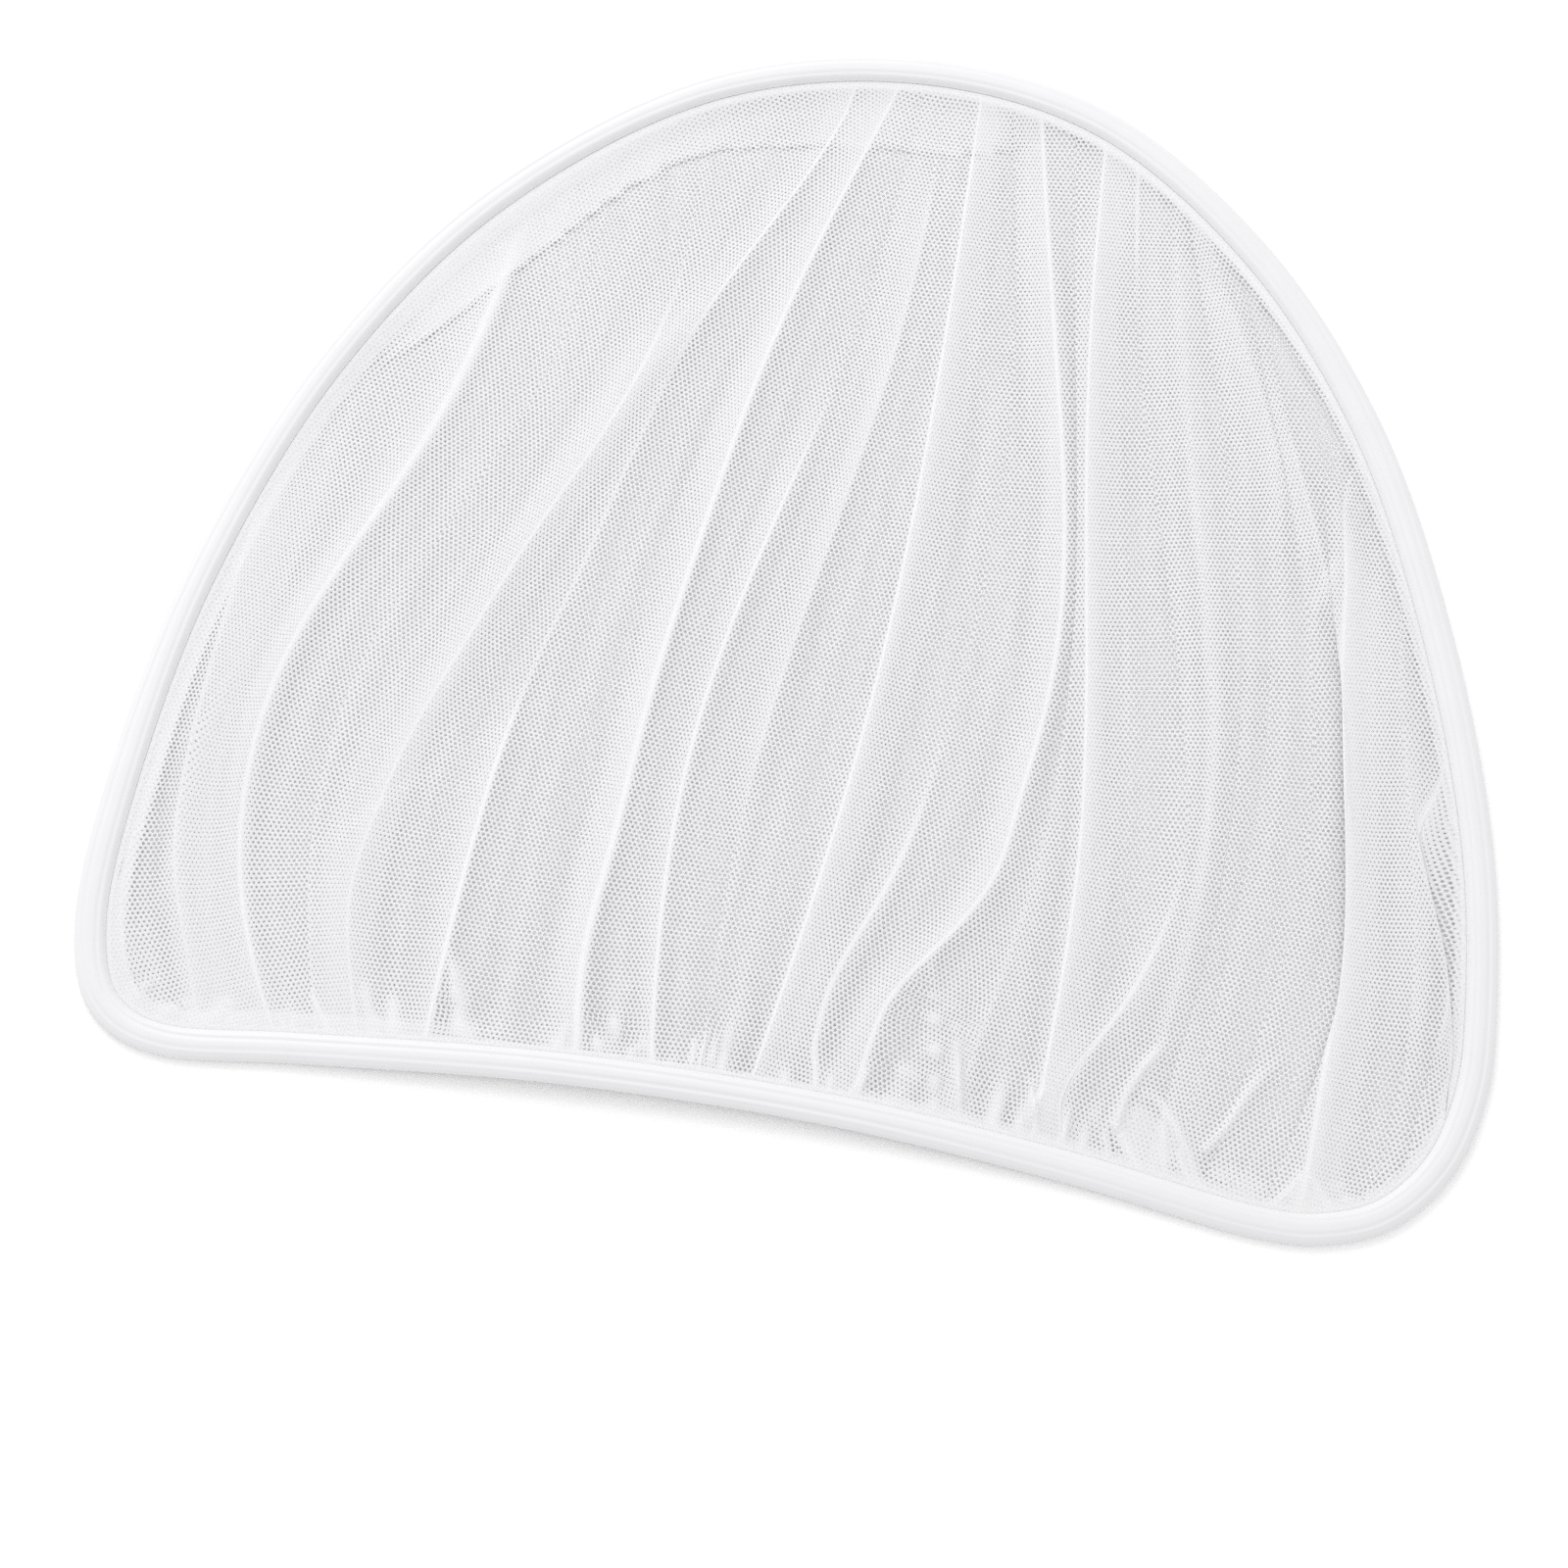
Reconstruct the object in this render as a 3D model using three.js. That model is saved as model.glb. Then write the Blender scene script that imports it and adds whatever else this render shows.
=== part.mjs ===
// Stroller mosquito net, lying slack on a flat surface with its folds showing.
// A soft binding closes round the edge of one gathered net.
// Millimetres. X runs along the straight edge, Y towards the crown, Z up.
// The origin is under the middle of the whole piece, on the surface.
import * as THREE from 'three';

// Driving sizes of the binding
const BAND_WIDTH = 12;
const BAND_THICKNESS = 5;
const BAND_SOLE = 7.6;
const BAND_ROUNDING = 0.6;
const BAND_SIDE_DROP = 1.2;
const BAND_RIDGE_PITCH = 4.6;
const BAND_RIDGE_HEIGHT = 0.9;
const BAND_TOP_STEPS = 8;
const BAND_STATIONS = 112;

// Driving sizes of the net
const NET_THICKNESS = 1.2;
const NET_FLOOR_GAP = 0.4;
const NET_PUFF = 2.2;
const NET_ROWS = 18;
const ROW_EASING = 0.07;
const COLUMN_SPACING = 24;

// The slit on the inner side of the binding, which holds the edge of the net
const FIT_GAP = 0.3;
const SLIT_DEPTH = 4;
const SLIT_HEIGHT = NET_THICKNESS + 2 * FIT_GAP;
const EDGE_CLEARANCE = 0.5;

// Near the binding the net is level over the margin, then takes up its folds over the width
const CALM_MARGIN = 1.2;
const CALM_WIDTH = 8;

// A fold's ridge, and how gently it starts and ends, as shares of its length
const FOLD_HALF_WIDTH = 4.5;
const FOLD_SHOULDER = 0.3;
const WIDEST_SHOULDER = 0.3;
const FULL_BEND_LENGTH = 120;
const FADE_OUTSIDE = 0.1;
const FADE_INSIDE = 0.15;

// The short gathers between the folds at the straight edge
const GATHER_RISE = 3;
const GATHER_START = 0.84;
const GATHER_FULL = 0.97;
const LIFT_START = 0.6;

// The loop of the binding as it lies, clockwise from above, starting in the lower left corner.
// x and y give the middle of the band, lift how far its sole stands off the surface.
const LOOP = [
  { x: -254, y: -212, lift: 0 },
  { x: -263, y: -183, lift: 0 },
  { x: -262.6, y: -119.5, lift: 0 },
  { x: -251, y: -36, lift: 0 },
  { x: -219.5, y: 61, lift: 0 },
  { x: -167.5, y: 145, lift: 0 },
  { x: -87.5, y: 210.5, lift: 0 },
  { x: -4, y: 231.5, lift: 0 },
  { x: 72.5, y: 219.5, lift: 0 },
  { x: 142.5, y: 169.5, lift: 0 },
  { x: 195, y: 100, lift: 0 },
  { x: 230.5, y: 19.5, lift: 0 },
  { x: 256, y: -69.5, lift: 0 },
  { x: 264, y: -135.5, lift: 0 },
  { x: 263.5, y: -170, lift: 0 },
  { x: 254.5, y: -200, lift: 0 },
  { x: 236, y: -221.5, lift: 0 },
  { x: 213, y: -230.5, lift: 0 },
  { x: 190, y: -231.5, lift: 0 },
  { x: 116.5, y: -222, lift: 1 },
  { x: 24.5, y: -215, lift: 3.5 },
  { x: -78, y: -215.5, lift: 4 },
  { x: -175, y: -222.5, lift: 0.8 },
  { x: -225, y: -227, lift: 0 },
  { x: -242.5, y: -222.5, lift: 0 },
];
const RIGHT_CORNER = { x: 249, y: -209 };

// The main folds of the net, from the left corner to the right one.
// head: where a fold starts, as a share of the curved edge; foot: where it ends, as a share
// of the straight edge; swell and sway: how far its middle and its quarters bend to the right;
// rise: its height; from and to: the shares of its length between which it stands up.
const FOLDS = [
  { head: 0, foot: 0, swell: 0, sway: 0, rise: 0, from: 0, to: 1 },
  { head: 0.12, foot: 0.05, swell: -11, sway: 5, rise: 2.2, from: 0.2, to: 1 },
  { head: 0.183, foot: 0.089, swell: -19, sway: 4, rise: 3.8, from: 0.1, to: 1 },
  { head: 0.35, foot: 0.144, swell: -36, sway: 14, rise: 5.6, from: 0.12, to: 1 },
  { head: 0.385, foot: 0.175, swell: -20, sway: 18, rise: 2.6, from: 0.3, to: 1 },
  { head: 0.419, foot: 0.204, swell: -7, sway: 20, rise: 5.4, from: 0.15, to: 1 },
  { head: 0.47, foot: 0.253, swell: -23.5, sway: 3, rise: 5.2, from: 0, to: 1 },
  { head: 0.492, foot: 0.365, swell: -21, sway: 0, rise: 6, from: 0, to: 1 },
  { head: 0.5, foot: 0.422, swell: -12.5, sway: 9, rise: 5, from: 0.35, to: 1 },
  { head: 0.508, foot: 0.458, swell: -2.5, sway: 7, rise: 3, from: 0.1, to: 0.9 },
  { head: 0.521, foot: 0.495, swell: 12.5, sway: -1, rise: 7, from: 0, to: 1 },
  { head: 0.532, foot: 0.541, swell: 27, sway: 1, rise: 3.6, from: 0.6, to: 1 },
  { head: 0.543, foot: 0.58, swell: 41, sway: -6, rise: 6, from: 0, to: 1 },
  { head: 0.557, foot: 0.641, swell: 24, sway: -5, rise: 2.8, from: 0.7, to: 1 },
  { head: 0.57, foot: 0.705, swell: 6, sway: -4.5, rise: 6.6, from: 0, to: 1 },
  { head: 0.584, foot: 0.735, swell: 30, sway: -12, rise: 5, from: 0.7, to: 1 },
  { head: 0.6, foot: 0.765, swell: 26, sway: -7, rise: 3.4, from: 0, to: 0.9 },
  { head: 0.622, foot: 0.81, swell: 34, sway: 2, rise: 4.6, from: 0.75, to: 1 },
  { head: 0.652, foot: 0.85, swell: 42, sway: -10, rise: 4.4, from: 0.6, to: 1 },
  { head: 0.725, foot: 0.917, swell: 4, sway: -5.5, rise: 6.4, from: 0.05, to: 1 },
  { head: 0.765, foot: 0.955, swell: 10, sway: -5, rise: 3.6, from: 0.1, to: 0.7 },
  { head: 0.83, foot: 0.985, swell: 5, sway: -1, rise: 3, from: 0.1, to: 0.8 },
  { head: 1, foot: 1, swell: 0, sway: 0, rise: 0, from: 0, to: 1 },
];

const bindingCloth = new THREE.MeshStandardMaterial({ color: 0xf3f3f5, roughness: 0.62, metalness: 0 });
const netCloth = new THREE.MeshStandardMaterial({ color: 0xe6e6ea, roughness: 0.8, metalness: 0 });

const clamp = THREE.MathUtils.clamp;
const lerp = THREE.MathUtils.lerp;
const smooth = THREE.MathUtils.smoothstep;

// The middle line of the binding as evenly spaced stations, each with its inward direction
function loopStations() {
  const rows = LOOP.map(({ x, y, lift }) => new THREE.Vector3(x, y, lift));
  const curve = new THREE.CatmullRomCurve3(rows, true, 'centripetal');
  const points = curve.getSpacedPoints(BAND_STATIONS).slice(0, BAND_STATIONS);
  return points.map((point, i) => {
    const before = points[(i + BAND_STATIONS - 1) % BAND_STATIONS];
    const after = points[(i + 1) % BAND_STATIONS];
    const along = new THREE.Vector2(after.x - before.x, after.y - before.y).normalize();
    const inward = new THREE.Vector2(along.y, -along.x);
    return { x: point.x, y: point.y, lift: Math.max(0, point.z), inward };
  });
}

// Height of the rounded top of the binding, with its shallow lengthwise ridges
function bandTop(across) {
  const share = across / (BAND_WIDTH / 2);
  const crown = BAND_THICKNESS - BAND_SIDE_DROP * share ** 4;
  const ripple = Math.cos((2 * Math.PI * across) / BAND_RIDGE_PITCH);
  return crown - (BAND_RIDGE_HEIGHT * (1 - ripple)) / 4;
}

// The section of the binding: across is towards the net, up is off the surface
function bandSection() {
  const side = BAND_WIDTH / 2;
  const sole = BAND_SOLE / 2;
  const slitMiddle = BAND_THICKNESS / 2;
  const slitEnd = side - SLIT_DEPTH;
  const section = [
    { across: sole, up: 0 },
    { across: side - BAND_ROUNDING, up: BAND_ROUNDING },
    { across: side, up: slitMiddle - SLIT_HEIGHT / 2 },
    { across: slitEnd, up: slitMiddle - SLIT_HEIGHT / 2 },
    { across: slitEnd, up: slitMiddle + SLIT_HEIGHT / 2 },
    { across: side, up: slitMiddle + SLIT_HEIGHT / 2 },
  ];
  for (let i = 0; i <= BAND_TOP_STEPS; i++) {
    const across = lerp(side - BAND_ROUNDING, BAND_ROUNDING - side, i / BAND_TOP_STEPS);
    section.push({ across, up: bandTop(across) });
  }
  section.push({ across: -side, up: slitMiddle });
  section.push({ across: BAND_ROUNDING - side, up: BAND_ROUNDING });
  section.push({ across: -sole, up: 0 });
  return section;
}

function meshFrom(name, positions, indices, material) {
  const geometry = new THREE.BufferGeometry();
  geometry.setAttribute('position', new THREE.Float32BufferAttribute(positions, 3));
  geometry.setIndex(indices);
  geometry.computeVertexNormals();
  const mesh = new THREE.Mesh(geometry, material);
  mesh.name = name;
  return mesh;
}

// The binding: its section carried once round the loop
function makeBinding(stations) {
  const section = bandSection();
  const positions = [];
  const indices = [];
  for (const { x, y, lift, inward } of stations) {
    for (const { across, up } of section) {
      positions.push(x + inward.x * across, y + inward.y * across, lift + up);
    }
  }
  const ring = section.length;
  stations.forEach((station, i) => {
    const here = i * ring;
    const next = ((i + 1) % stations.length) * ring;
    for (let j = 0; j < ring; j++) {
      const k = (j + 1) % ring;
      indices.push(here + j, next + j, next + k);
      indices.push(here + j, next + k, here + k);
    }
  });
  return meshFrom('binding', positions, indices, bindingCloth);
}

// A line measured along its length, so that a share of it gives a point
function measuredLine(points) {
  const lengths = [0];
  for (let i = 1; i < points.length; i++) {
    lengths.push(lengths[i - 1] + points[i].distanceTo(points[i - 1]));
  }
  const total = lengths[lengths.length - 1];
  return (share) => {
    const wanted = clamp(share, 0, 1) * total;
    const i = clamp(lengths.findIndex((length) => length >= wanted), 1, points.length - 1);
    const part = (wanted - lengths[i - 1]) / (lengths[i] - lengths[i - 1]);
    return points[i - 1].clone().lerp(points[i], part);
  };
}

// The curved and the straight edge of the net, both from the left corner to the right one
function netEdges(stations) {
  const inset = BAND_WIDTH / 2 - SLIT_DEPTH + EDGE_CLEARANCE;
  const edge = stations.map(({ x, y, inward }) => new THREE.Vector2(x, y).addScaledVector(inward, inset));
  const corner = new THREE.Vector2(RIGHT_CORNER.x, RIGHT_CORNER.y);
  const distances = edge.map((point) => point.distanceTo(corner));
  const right = distances.indexOf(Math.min(...distances));
  return {
    curved: measuredLine(edge.slice(0, right + 1)),
    straight: measuredLine([...edge.slice(right), edge[0]].reverse()),
  };
}

// A point of a fold line in plan, at a share of its length from head to foot
function foldPoint(edges, fold, share) {
  const head = edges.curved(fold.head);
  const foot = edges.straight(fold.foot);
  const chord = foot.clone().sub(head);
  const length = Math.max(chord.length(), 1e-6);
  const right = new THREE.Vector2(-chord.y, chord.x).divideScalar(length);
  const bend = fold.swell * Math.sin(Math.PI * share) + fold.sway * Math.sin(2 * Math.PI * share);
  const reach = Math.min(1, length / FULL_BEND_LENGTH);
  return head.lerp(foot, share).addScaledVector(right, bend * reach);
}

function between(a, b, part) {
  return {
    head: lerp(a.head, b.head, part),
    foot: lerp(a.foot, b.foot, part),
    swell: lerp(a.swell, b.swell, part),
    sway: lerp(a.sway, b.sway, part),
  };
}

// How high a fold stands at a share of its length
function foldRise(fold, share) {
  const start = fold.from === 0 ? 1 : smooth(share, fold.from - FADE_OUTSIDE, fold.from + FADE_INSIDE);
  const end = fold.to === 1 ? 1 : 1 - smooth(share, fold.to - FADE_INSIDE, fold.to + FADE_OUTSIDE);
  return fold.rise * start * end;
}

// The columns of the net: on each fold line, on its shoulders and in the trough to the next one
function netColumns(edges) {
  const columns = [];
  for (let i = 0; i + 1 < FOLDS.length; i++) {
    const left = FOLDS[i];
    const right = FOLDS[i + 1];
    const width = foldPoint(edges, left, 0.5).distanceTo(foldPoint(edges, right, 0.5));
    const shoulder = Math.min(WIDEST_SHOULDER, FOLD_HALF_WIDTH / width);
    const widest = Math.max(width, edges.curved(left.head).distanceTo(edges.curved(right.head)));
    const steps = 2 * Math.ceil((widest * (0.5 - shoulder)) / COLUMN_SPACING);
    const column = (part, rise) => ({ ...between(left, right, part), rise });
    columns.push(column(0, (share) => foldRise(left, share)));
    columns.push(column(shoulder, (share) => FOLD_SHOULDER * foldRise(left, share)));
    for (let j = 1; j < steps; j++) {
      const gather = GATHER_RISE * Math.sin((Math.PI * j) / steps);
      const part = lerp(shoulder, 1 - shoulder, j / steps);
      columns.push(column(part, (share) => gather * smooth(share, GATHER_START, GATHER_FULL)));
    }
    columns.push(column(1 - shoulder, (share) => FOLD_SHOULDER * foldRise(right, share)));
  }
  const last = FOLDS[FOLDS.length - 1];
  columns.push({ ...last, rise: () => 0 });
  return columns;
}

// The nearest stretch of the binding: how far its inner side is, and how far it is lifted
function nearestBand(stations, point) {
  let best = { gap: Infinity, lift: 0 };
  stations.forEach((station, i) => {
    const next = stations[(i + 1) % stations.length];
    const dx = next.x - station.x;
    const dy = next.y - station.y;
    const along = ((point.x - station.x) * dx + (point.y - station.y) * dy) / (dx * dx + dy * dy);
    const part = clamp(along, 0, 1);
    const away = Math.hypot(point.x - station.x - dx * part, point.y - station.y - dy * part);
    const gap = away - BAND_WIDTH / 2;
    if (gap < best.gap) best = { gap, lift: lerp(station.lift, next.lift, part) };
  });
  return best;
}

// The middle of the net's thickness at a share of a column
function netPoint(edges, stations, column, share) {
  const plan = foldPoint(edges, column, share);
  const { gap, lift } = nearestBand(stations, plan);
  const held = lift + BAND_THICKNESS / 2;
  const puff = NET_PUFF * Math.sin(Math.PI * share) + lift * smooth(share, LIFT_START, 1);
  const loose = NET_FLOOR_GAP + NET_THICKNESS / 2 + puff + column.rise(share);
  const freed = smooth(gap, CALM_MARGIN, CALM_MARGIN + CALM_WIDTH);
  return new THREE.Vector3(plan.x, plan.y, lerp(held, loose, freed));
}

// The share of a column, counted from one of its ends, at which it comes clear of the slit
function clearShare(edges, stations, column, fromFoot) {
  const longest = 0.35;
  const step = 0.0025;
  for (let share = step; share < longest; share += step) {
    const plan = foldPoint(edges, column, fromFoot ? 1 - share : share);
    if (nearestBand(stations, plan).gap >= CALM_MARGIN) return share;
  }
  return longest;
}

// Shares of a column's length: the slit, then rows closer together near both edges
function rowShares(edges, stations, column) {
  const first = clearShare(edges, stations, column, false);
  const last = 1 - clearShare(edges, stations, column, true);
  const shares = [0];
  for (let i = 0; i <= NET_ROWS - 2; i++) {
    const even = i / (NET_ROWS - 2);
    shares.push(lerp(first, last, even - ROW_EASING * Math.sin(2 * Math.PI * even)));
  }
  shares.push(1);
  return shares;
}

function normalAt(grid, c, r) {
  const left = grid[Math.max(c - 1, 0)][r];
  const right = grid[Math.min(c + 1, grid.length - 1)][r];
  const up = grid[c][Math.max(r - 1, 0)];
  const down = grid[c][Math.min(r + 1, NET_ROWS)];
  const normal = down.clone().sub(up).cross(right.clone().sub(left)).normalize();
  return normal.lengthSq() > 0.5 ? normal : new THREE.Vector3(0, 0, 1);
}

// The net: one gathered sheet between the two corners of the binding
function makeNet(stations) {
  const edges = netEdges(stations);
  const columns = netColumns(edges);
  const grid = columns.map((column) => {
    const shares = rowShares(edges, stations, column);
    return shares.map((share) => netPoint(edges, stations, column, share));
  });
  const positions = [];
  const indices = [];
  const last = columns.length - 1;
  const ends = [0, last];
  const numbers = grid.map(() => []);
  grid.forEach((points, c) => {
    points.forEach((point, r) => {
      if (ends.includes(c) && r > 0) {
        numbers[c].push(numbers[c][0]);
        return;
      }
      const level = ends.includes(c) || r < 2 || r > NET_ROWS - 2;
      const normal = level ? new THREE.Vector3(0, 0, 1) : normalAt(grid, c, r);
      const half = normal.multiplyScalar(NET_THICKNESS / 2);
      numbers[c].push(positions.length / 3);
      positions.push(point.x + half.x, point.y + half.y, point.z + half.z);
      positions.push(point.x - half.x, point.y - half.y, point.z - half.z);
    });
  });
  const face = (a, b, c) => {
    if (a !== b && b !== c && c !== a) indices.push(a, b, c);
  };
  for (let c = 0; c < last; c++) {
    for (let r = 0; r < NET_ROWS; r++) {
      const a = numbers[c][r];
      const b = numbers[c][r + 1];
      const d = numbers[c + 1][r];
      const e = numbers[c + 1][r + 1];
      face(a, b, e);
      face(a, e, d);
      face(a + 1, e + 1, b + 1);
      face(a + 1, d + 1, e + 1);
    }
    for (const r of [0, NET_ROWS]) {
      const a = numbers[c][r];
      const d = numbers[c + 1][r];
      const [near, far] = r === 0 ? [a, d] : [d, a];
      indices.push(near, far, far + 1);
      indices.push(near, far + 1, near + 1);
    }
  }
  return meshFrom('net', positions, indices, netCloth);
}

const strollerNet = new THREE.Group();
const stations = loopStations();
strollerNet.add(makeBinding(stations));
strollerNet.add(makeNet(stations));

export default strollerNet;
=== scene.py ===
"""Looks of a slack stroller mosquito net.

A sheer mesh cloth, gathered into long uneven folds, lies loose inside a soft stretch binding.
X runs along the straight edge and Y to the crown. Sizes of the cloth are in millimetres until a
mesh is made of it, and those of the finishes and the studio are in metres.
"""
import logging
import math
from dataclasses import dataclass, field
from enum import Enum
from typing import Any, Sequence

import bpy
import numpy as np
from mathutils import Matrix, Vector


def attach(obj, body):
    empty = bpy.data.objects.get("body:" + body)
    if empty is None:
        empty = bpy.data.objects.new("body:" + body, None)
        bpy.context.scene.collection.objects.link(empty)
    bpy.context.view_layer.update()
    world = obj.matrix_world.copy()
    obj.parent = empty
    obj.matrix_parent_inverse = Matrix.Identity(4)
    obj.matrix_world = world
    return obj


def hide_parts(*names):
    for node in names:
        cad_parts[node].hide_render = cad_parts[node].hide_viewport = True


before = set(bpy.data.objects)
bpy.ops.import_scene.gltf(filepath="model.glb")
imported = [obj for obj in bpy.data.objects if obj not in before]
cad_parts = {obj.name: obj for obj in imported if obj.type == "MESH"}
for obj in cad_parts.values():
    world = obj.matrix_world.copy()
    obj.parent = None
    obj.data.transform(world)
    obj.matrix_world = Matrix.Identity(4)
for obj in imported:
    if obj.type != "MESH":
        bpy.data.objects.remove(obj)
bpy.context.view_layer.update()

MM = 0.001
TINY = 1e-6
BODY = "root"
CLOTH_UV = "cloth"
CROWD = "crowd"

log = logging.getLogger("mosquito_net")


def smooth(value: Any, low: Any, high: Any) -> np.ndarray:
    """Rises softly from 0 at low to 1 at high.

    Args:
        value: The numbers to grade.
        low: Where the rise begins.
        high: Where it ends.

    Returns:
        The graded numbers, between 0 and 1.
    """
    share = np.clip((np.asarray(value, float) - low) / (high - low), 0, 1)
    return share * share * (3 - 2 * share)


def lerp(a: Any, b: Any, share: Any) -> Any:
    """The value a share of the way from a to b."""
    return a + (b - a) * share


def bell(away: Any, width: Any) -> np.ndarray:
    """A soft bump: 1 in its middle, and down to about a third at its width."""
    return np.exp(-((away / width) ** 2))


def running(steps: np.ndarray) -> np.ndarray:
    """The distance reached after each of these steps along the first axis, from 0."""
    return np.concatenate([np.zeros_like(steps[:1]), np.cumsum(steps, axis=0)])


class Role(Enum):
    """What a layer of the mesh cloth does in the slack net."""

    UPPER = "net_upper"
    UNDER = "net_under"
    TURNED = "net_turned"


@dataclass(frozen=True)
class LoopRow:
    """A place on the middle line of the binding, and how far its sole stands off the surface."""

    x: float
    y: float
    lift: float = 0.0


@dataclass(frozen=True)
class Bow:
    """A stretch where a fold bows to the right, by so many millimetres, at a share of its length."""

    at: float
    by: float
    reach: float


@dataclass(frozen=True)
class Span:
    """The shares of a fold's length between which it stands up, and how fully."""

    start: float
    stop: float
    level: float = 1.0


@dataclass(frozen=True)
class Veil:
    """The whitish cloth beside a crest, where the meshes are pressed together and painted whiter."""

    width: float
    strength: float


@dataclass(frozen=True)
class Fold:
    """A main fold of the net, from its head on the curved edge to its foot on the straight one.

    head and foot are shares of those edges from the left corner to the right one. swell and
    sway say how far the middle and the quarters bend to the right, and bows bend it further.
    rise is the height. crest is how closely the meshes crowd on its top, and thick and
    foot_thick are the widths of that crest above and at the foot. left and right are the
    veils beside it. A fold with no rise and no crest is only a line that the cloth follows.
    held_end is the share at both ends that no bow moves, and soft_end how softly a span ends.
    """

    head: float
    foot: float
    swell: float
    sway: float
    rise: float = 0.0
    crest: float = 0.0
    thick: float = 1.2
    foot_thick: float = 1.2
    left: Veil = Veil(6, 0)
    right: Veil = Veil(6, 0)
    spans: tuple[Span, ...] = (Span(0, 1),)
    bows: tuple[Bow, ...] = ()
    held_end: float = 0.05
    soft_end: float = 0.08

    def bend(self, shares: np.ndarray) -> np.ndarray:
        """How far the fold bends to the right at these shares of its length.

        Args:
            shares: Shares of its length, from the head.

        Returns:
            The bend in millimetres.
        """
        bend = self.swell * np.sin(math.pi * shares) + self.sway * np.sin(2 * math.pi * shares)
        held = smooth(shares, 0, self.held_end) * (1 - smooth(shares, 1 - self.held_end, 1))
        for bow in self.bows:
            bend = bend + held * bow.by * bell(shares - bow.at, bow.reach)
        return bend

    def stands(self, shares: np.ndarray) -> np.ndarray:
        """How fully the fold stands up at these shares of its length.

        Args:
            shares: Shares of its length, from the head.

        Returns:
            Between 0, where it lies flat, and 1.
        """
        fully = np.zeros_like(shares)
        soft = self.soft_end
        for span in self.spans:
            rise = smooth(shares, span.start - soft, span.start + soft) if span.start > 0 else 1.0
            fall = 1 - smooth(shares, span.stop - soft, span.stop + soft) if span.stop < 1 else 1.0
            fully = np.maximum(fully, span.level * rise * fall)
        return fully


@dataclass(frozen=True)
class Gather:
    """A short crease that runs up from the binding, centred at a share of the straight edge.

    reach is its length, width and rise its size, and lean how far its top is to the right of
    it. crest is how closely its meshes are pressed. body and core are the widths of its ridge
    and its crest as shares of width, and veil is the crowding of the cloth beside it. It dies
    away between the shares fades of its reach, and curl is how late it leans.
    """

    foot: float
    reach: float
    width: float
    rise: float
    lean: float = 0.0
    crest: float = 0.8
    body: float = 0.4
    core: float = 0.27
    veil: float = 0.2
    fades: tuple[float, float] = (0.5, 1.35)
    curl: float = 1.2

    def on(self, plan: np.ndarray, foot: np.ndarray) -> tuple[np.ndarray, np.ndarray]:
        """Says what the crease does to the cloth.

        Args:
            plan: The plan points of the cloth.
            foot: The plan point of the crease's foot.

        Returns:
            How high it stands there, and how closely it crowds the meshes.
        """
        up = np.maximum(plan[..., 1] - foot[1], 0)
        beside = plan[..., 0] - foot[0] - self.lean * (up / self.reach) ** self.curl
        stands = 1 - smooth(up, *(share * self.reach for share in self.fades))
        pressed = np.maximum(
            self.crest * bell(beside, self.core * self.width), self.veil * bell(beside, self.width)
        )
        return self.rise * stands * bell(beside, self.body * self.width), pressed * stands


@dataclass(frozen=True)
class Ruffle:
    """A small pinch of cloth beside the straight edge.

    path is its plan line from the open end to the foot, width and rise are its size, and
    crowd is how closely its meshes are pressed. core is the share of the width that stands up,
    and open_end the shares of the path between which it rises.
    """

    path: tuple[tuple[float, float], ...]
    width: float
    crowd: float
    rise: float
    core: float = 0.36
    open_end: tuple[float, float] = (-0.1, 0.4)

    def on(self, plan: np.ndarray) -> np.ndarray:
        """How fully these plan points lie on the pinch, which dies away at its open end.

        Args:
            plan: Plan points.

        Returns:
            Between 0, off the pinch, and 1.
        """
        points = np.array(self.path, float)
        away = np.full(plan.shape[:2], np.inf)
        reached = np.zeros(plan.shape[:2])
        done = 0.0
        for start, stop in zip(points[:-1], points[1:]):
            way = stop - start
            length = float(np.hypot(*way))
            share = np.clip(((plan - start) @ way) / length**2, 0, 1)
            off = np.linalg.norm(plan - start - share[..., None] * way, axis=2)
            reached = np.where(off < away, done + share * length, reached)
            away = np.minimum(away, off)
            done += length
        return bell(away, self.core * self.width) * smooth(reached / done, *self.open_end)


@dataclass(frozen=True)
class Patch:
    """A small place where the cloth lies doubled and pressed, so that its meshes crowd.

    x and y are its middle, long and broad its half sizes, and turn_deg how its long way lies.
    plain is the share of it that is crowded fully.
    """

    x: float
    y: float
    long: float
    broad: float
    turn_deg: float
    crowd: float
    plain: float = 0.55

    def on(self, plan: np.ndarray) -> np.ndarray:
        """How closely it crowds the meshes at these plan points.

        Args:
            plan: Plan points.

        Returns:
            The crowding, from 0 outside the patch.
        """
        turn = math.radians(self.turn_deg)
        x, y = plan[..., 0] - self.x, plan[..., 1] - self.y
        along = (x * math.cos(turn) + y * math.sin(turn)) / self.long
        across = (y * math.cos(turn) - x * math.sin(turn)) / self.broad
        return self.crowd * (1 - smooth(np.hypot(along, across), self.plain, 1))


@dataclass(frozen=True)
class Ramp:
    """A soft step: 0 at start and 1 at stop, whichever of them is the greater."""

    start: float
    stop: float

    def at(self, value: np.ndarray) -> np.ndarray:
        """The height of the step at these values.

        Args:
            value: Places along the step's own axis.

        Returns:
            The heights, between 0 and 1.
        """
        if self.start < self.stop:
            return smooth(value, self.start, self.stop)
        return 1 - smooth(value, self.stop, self.start)


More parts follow.
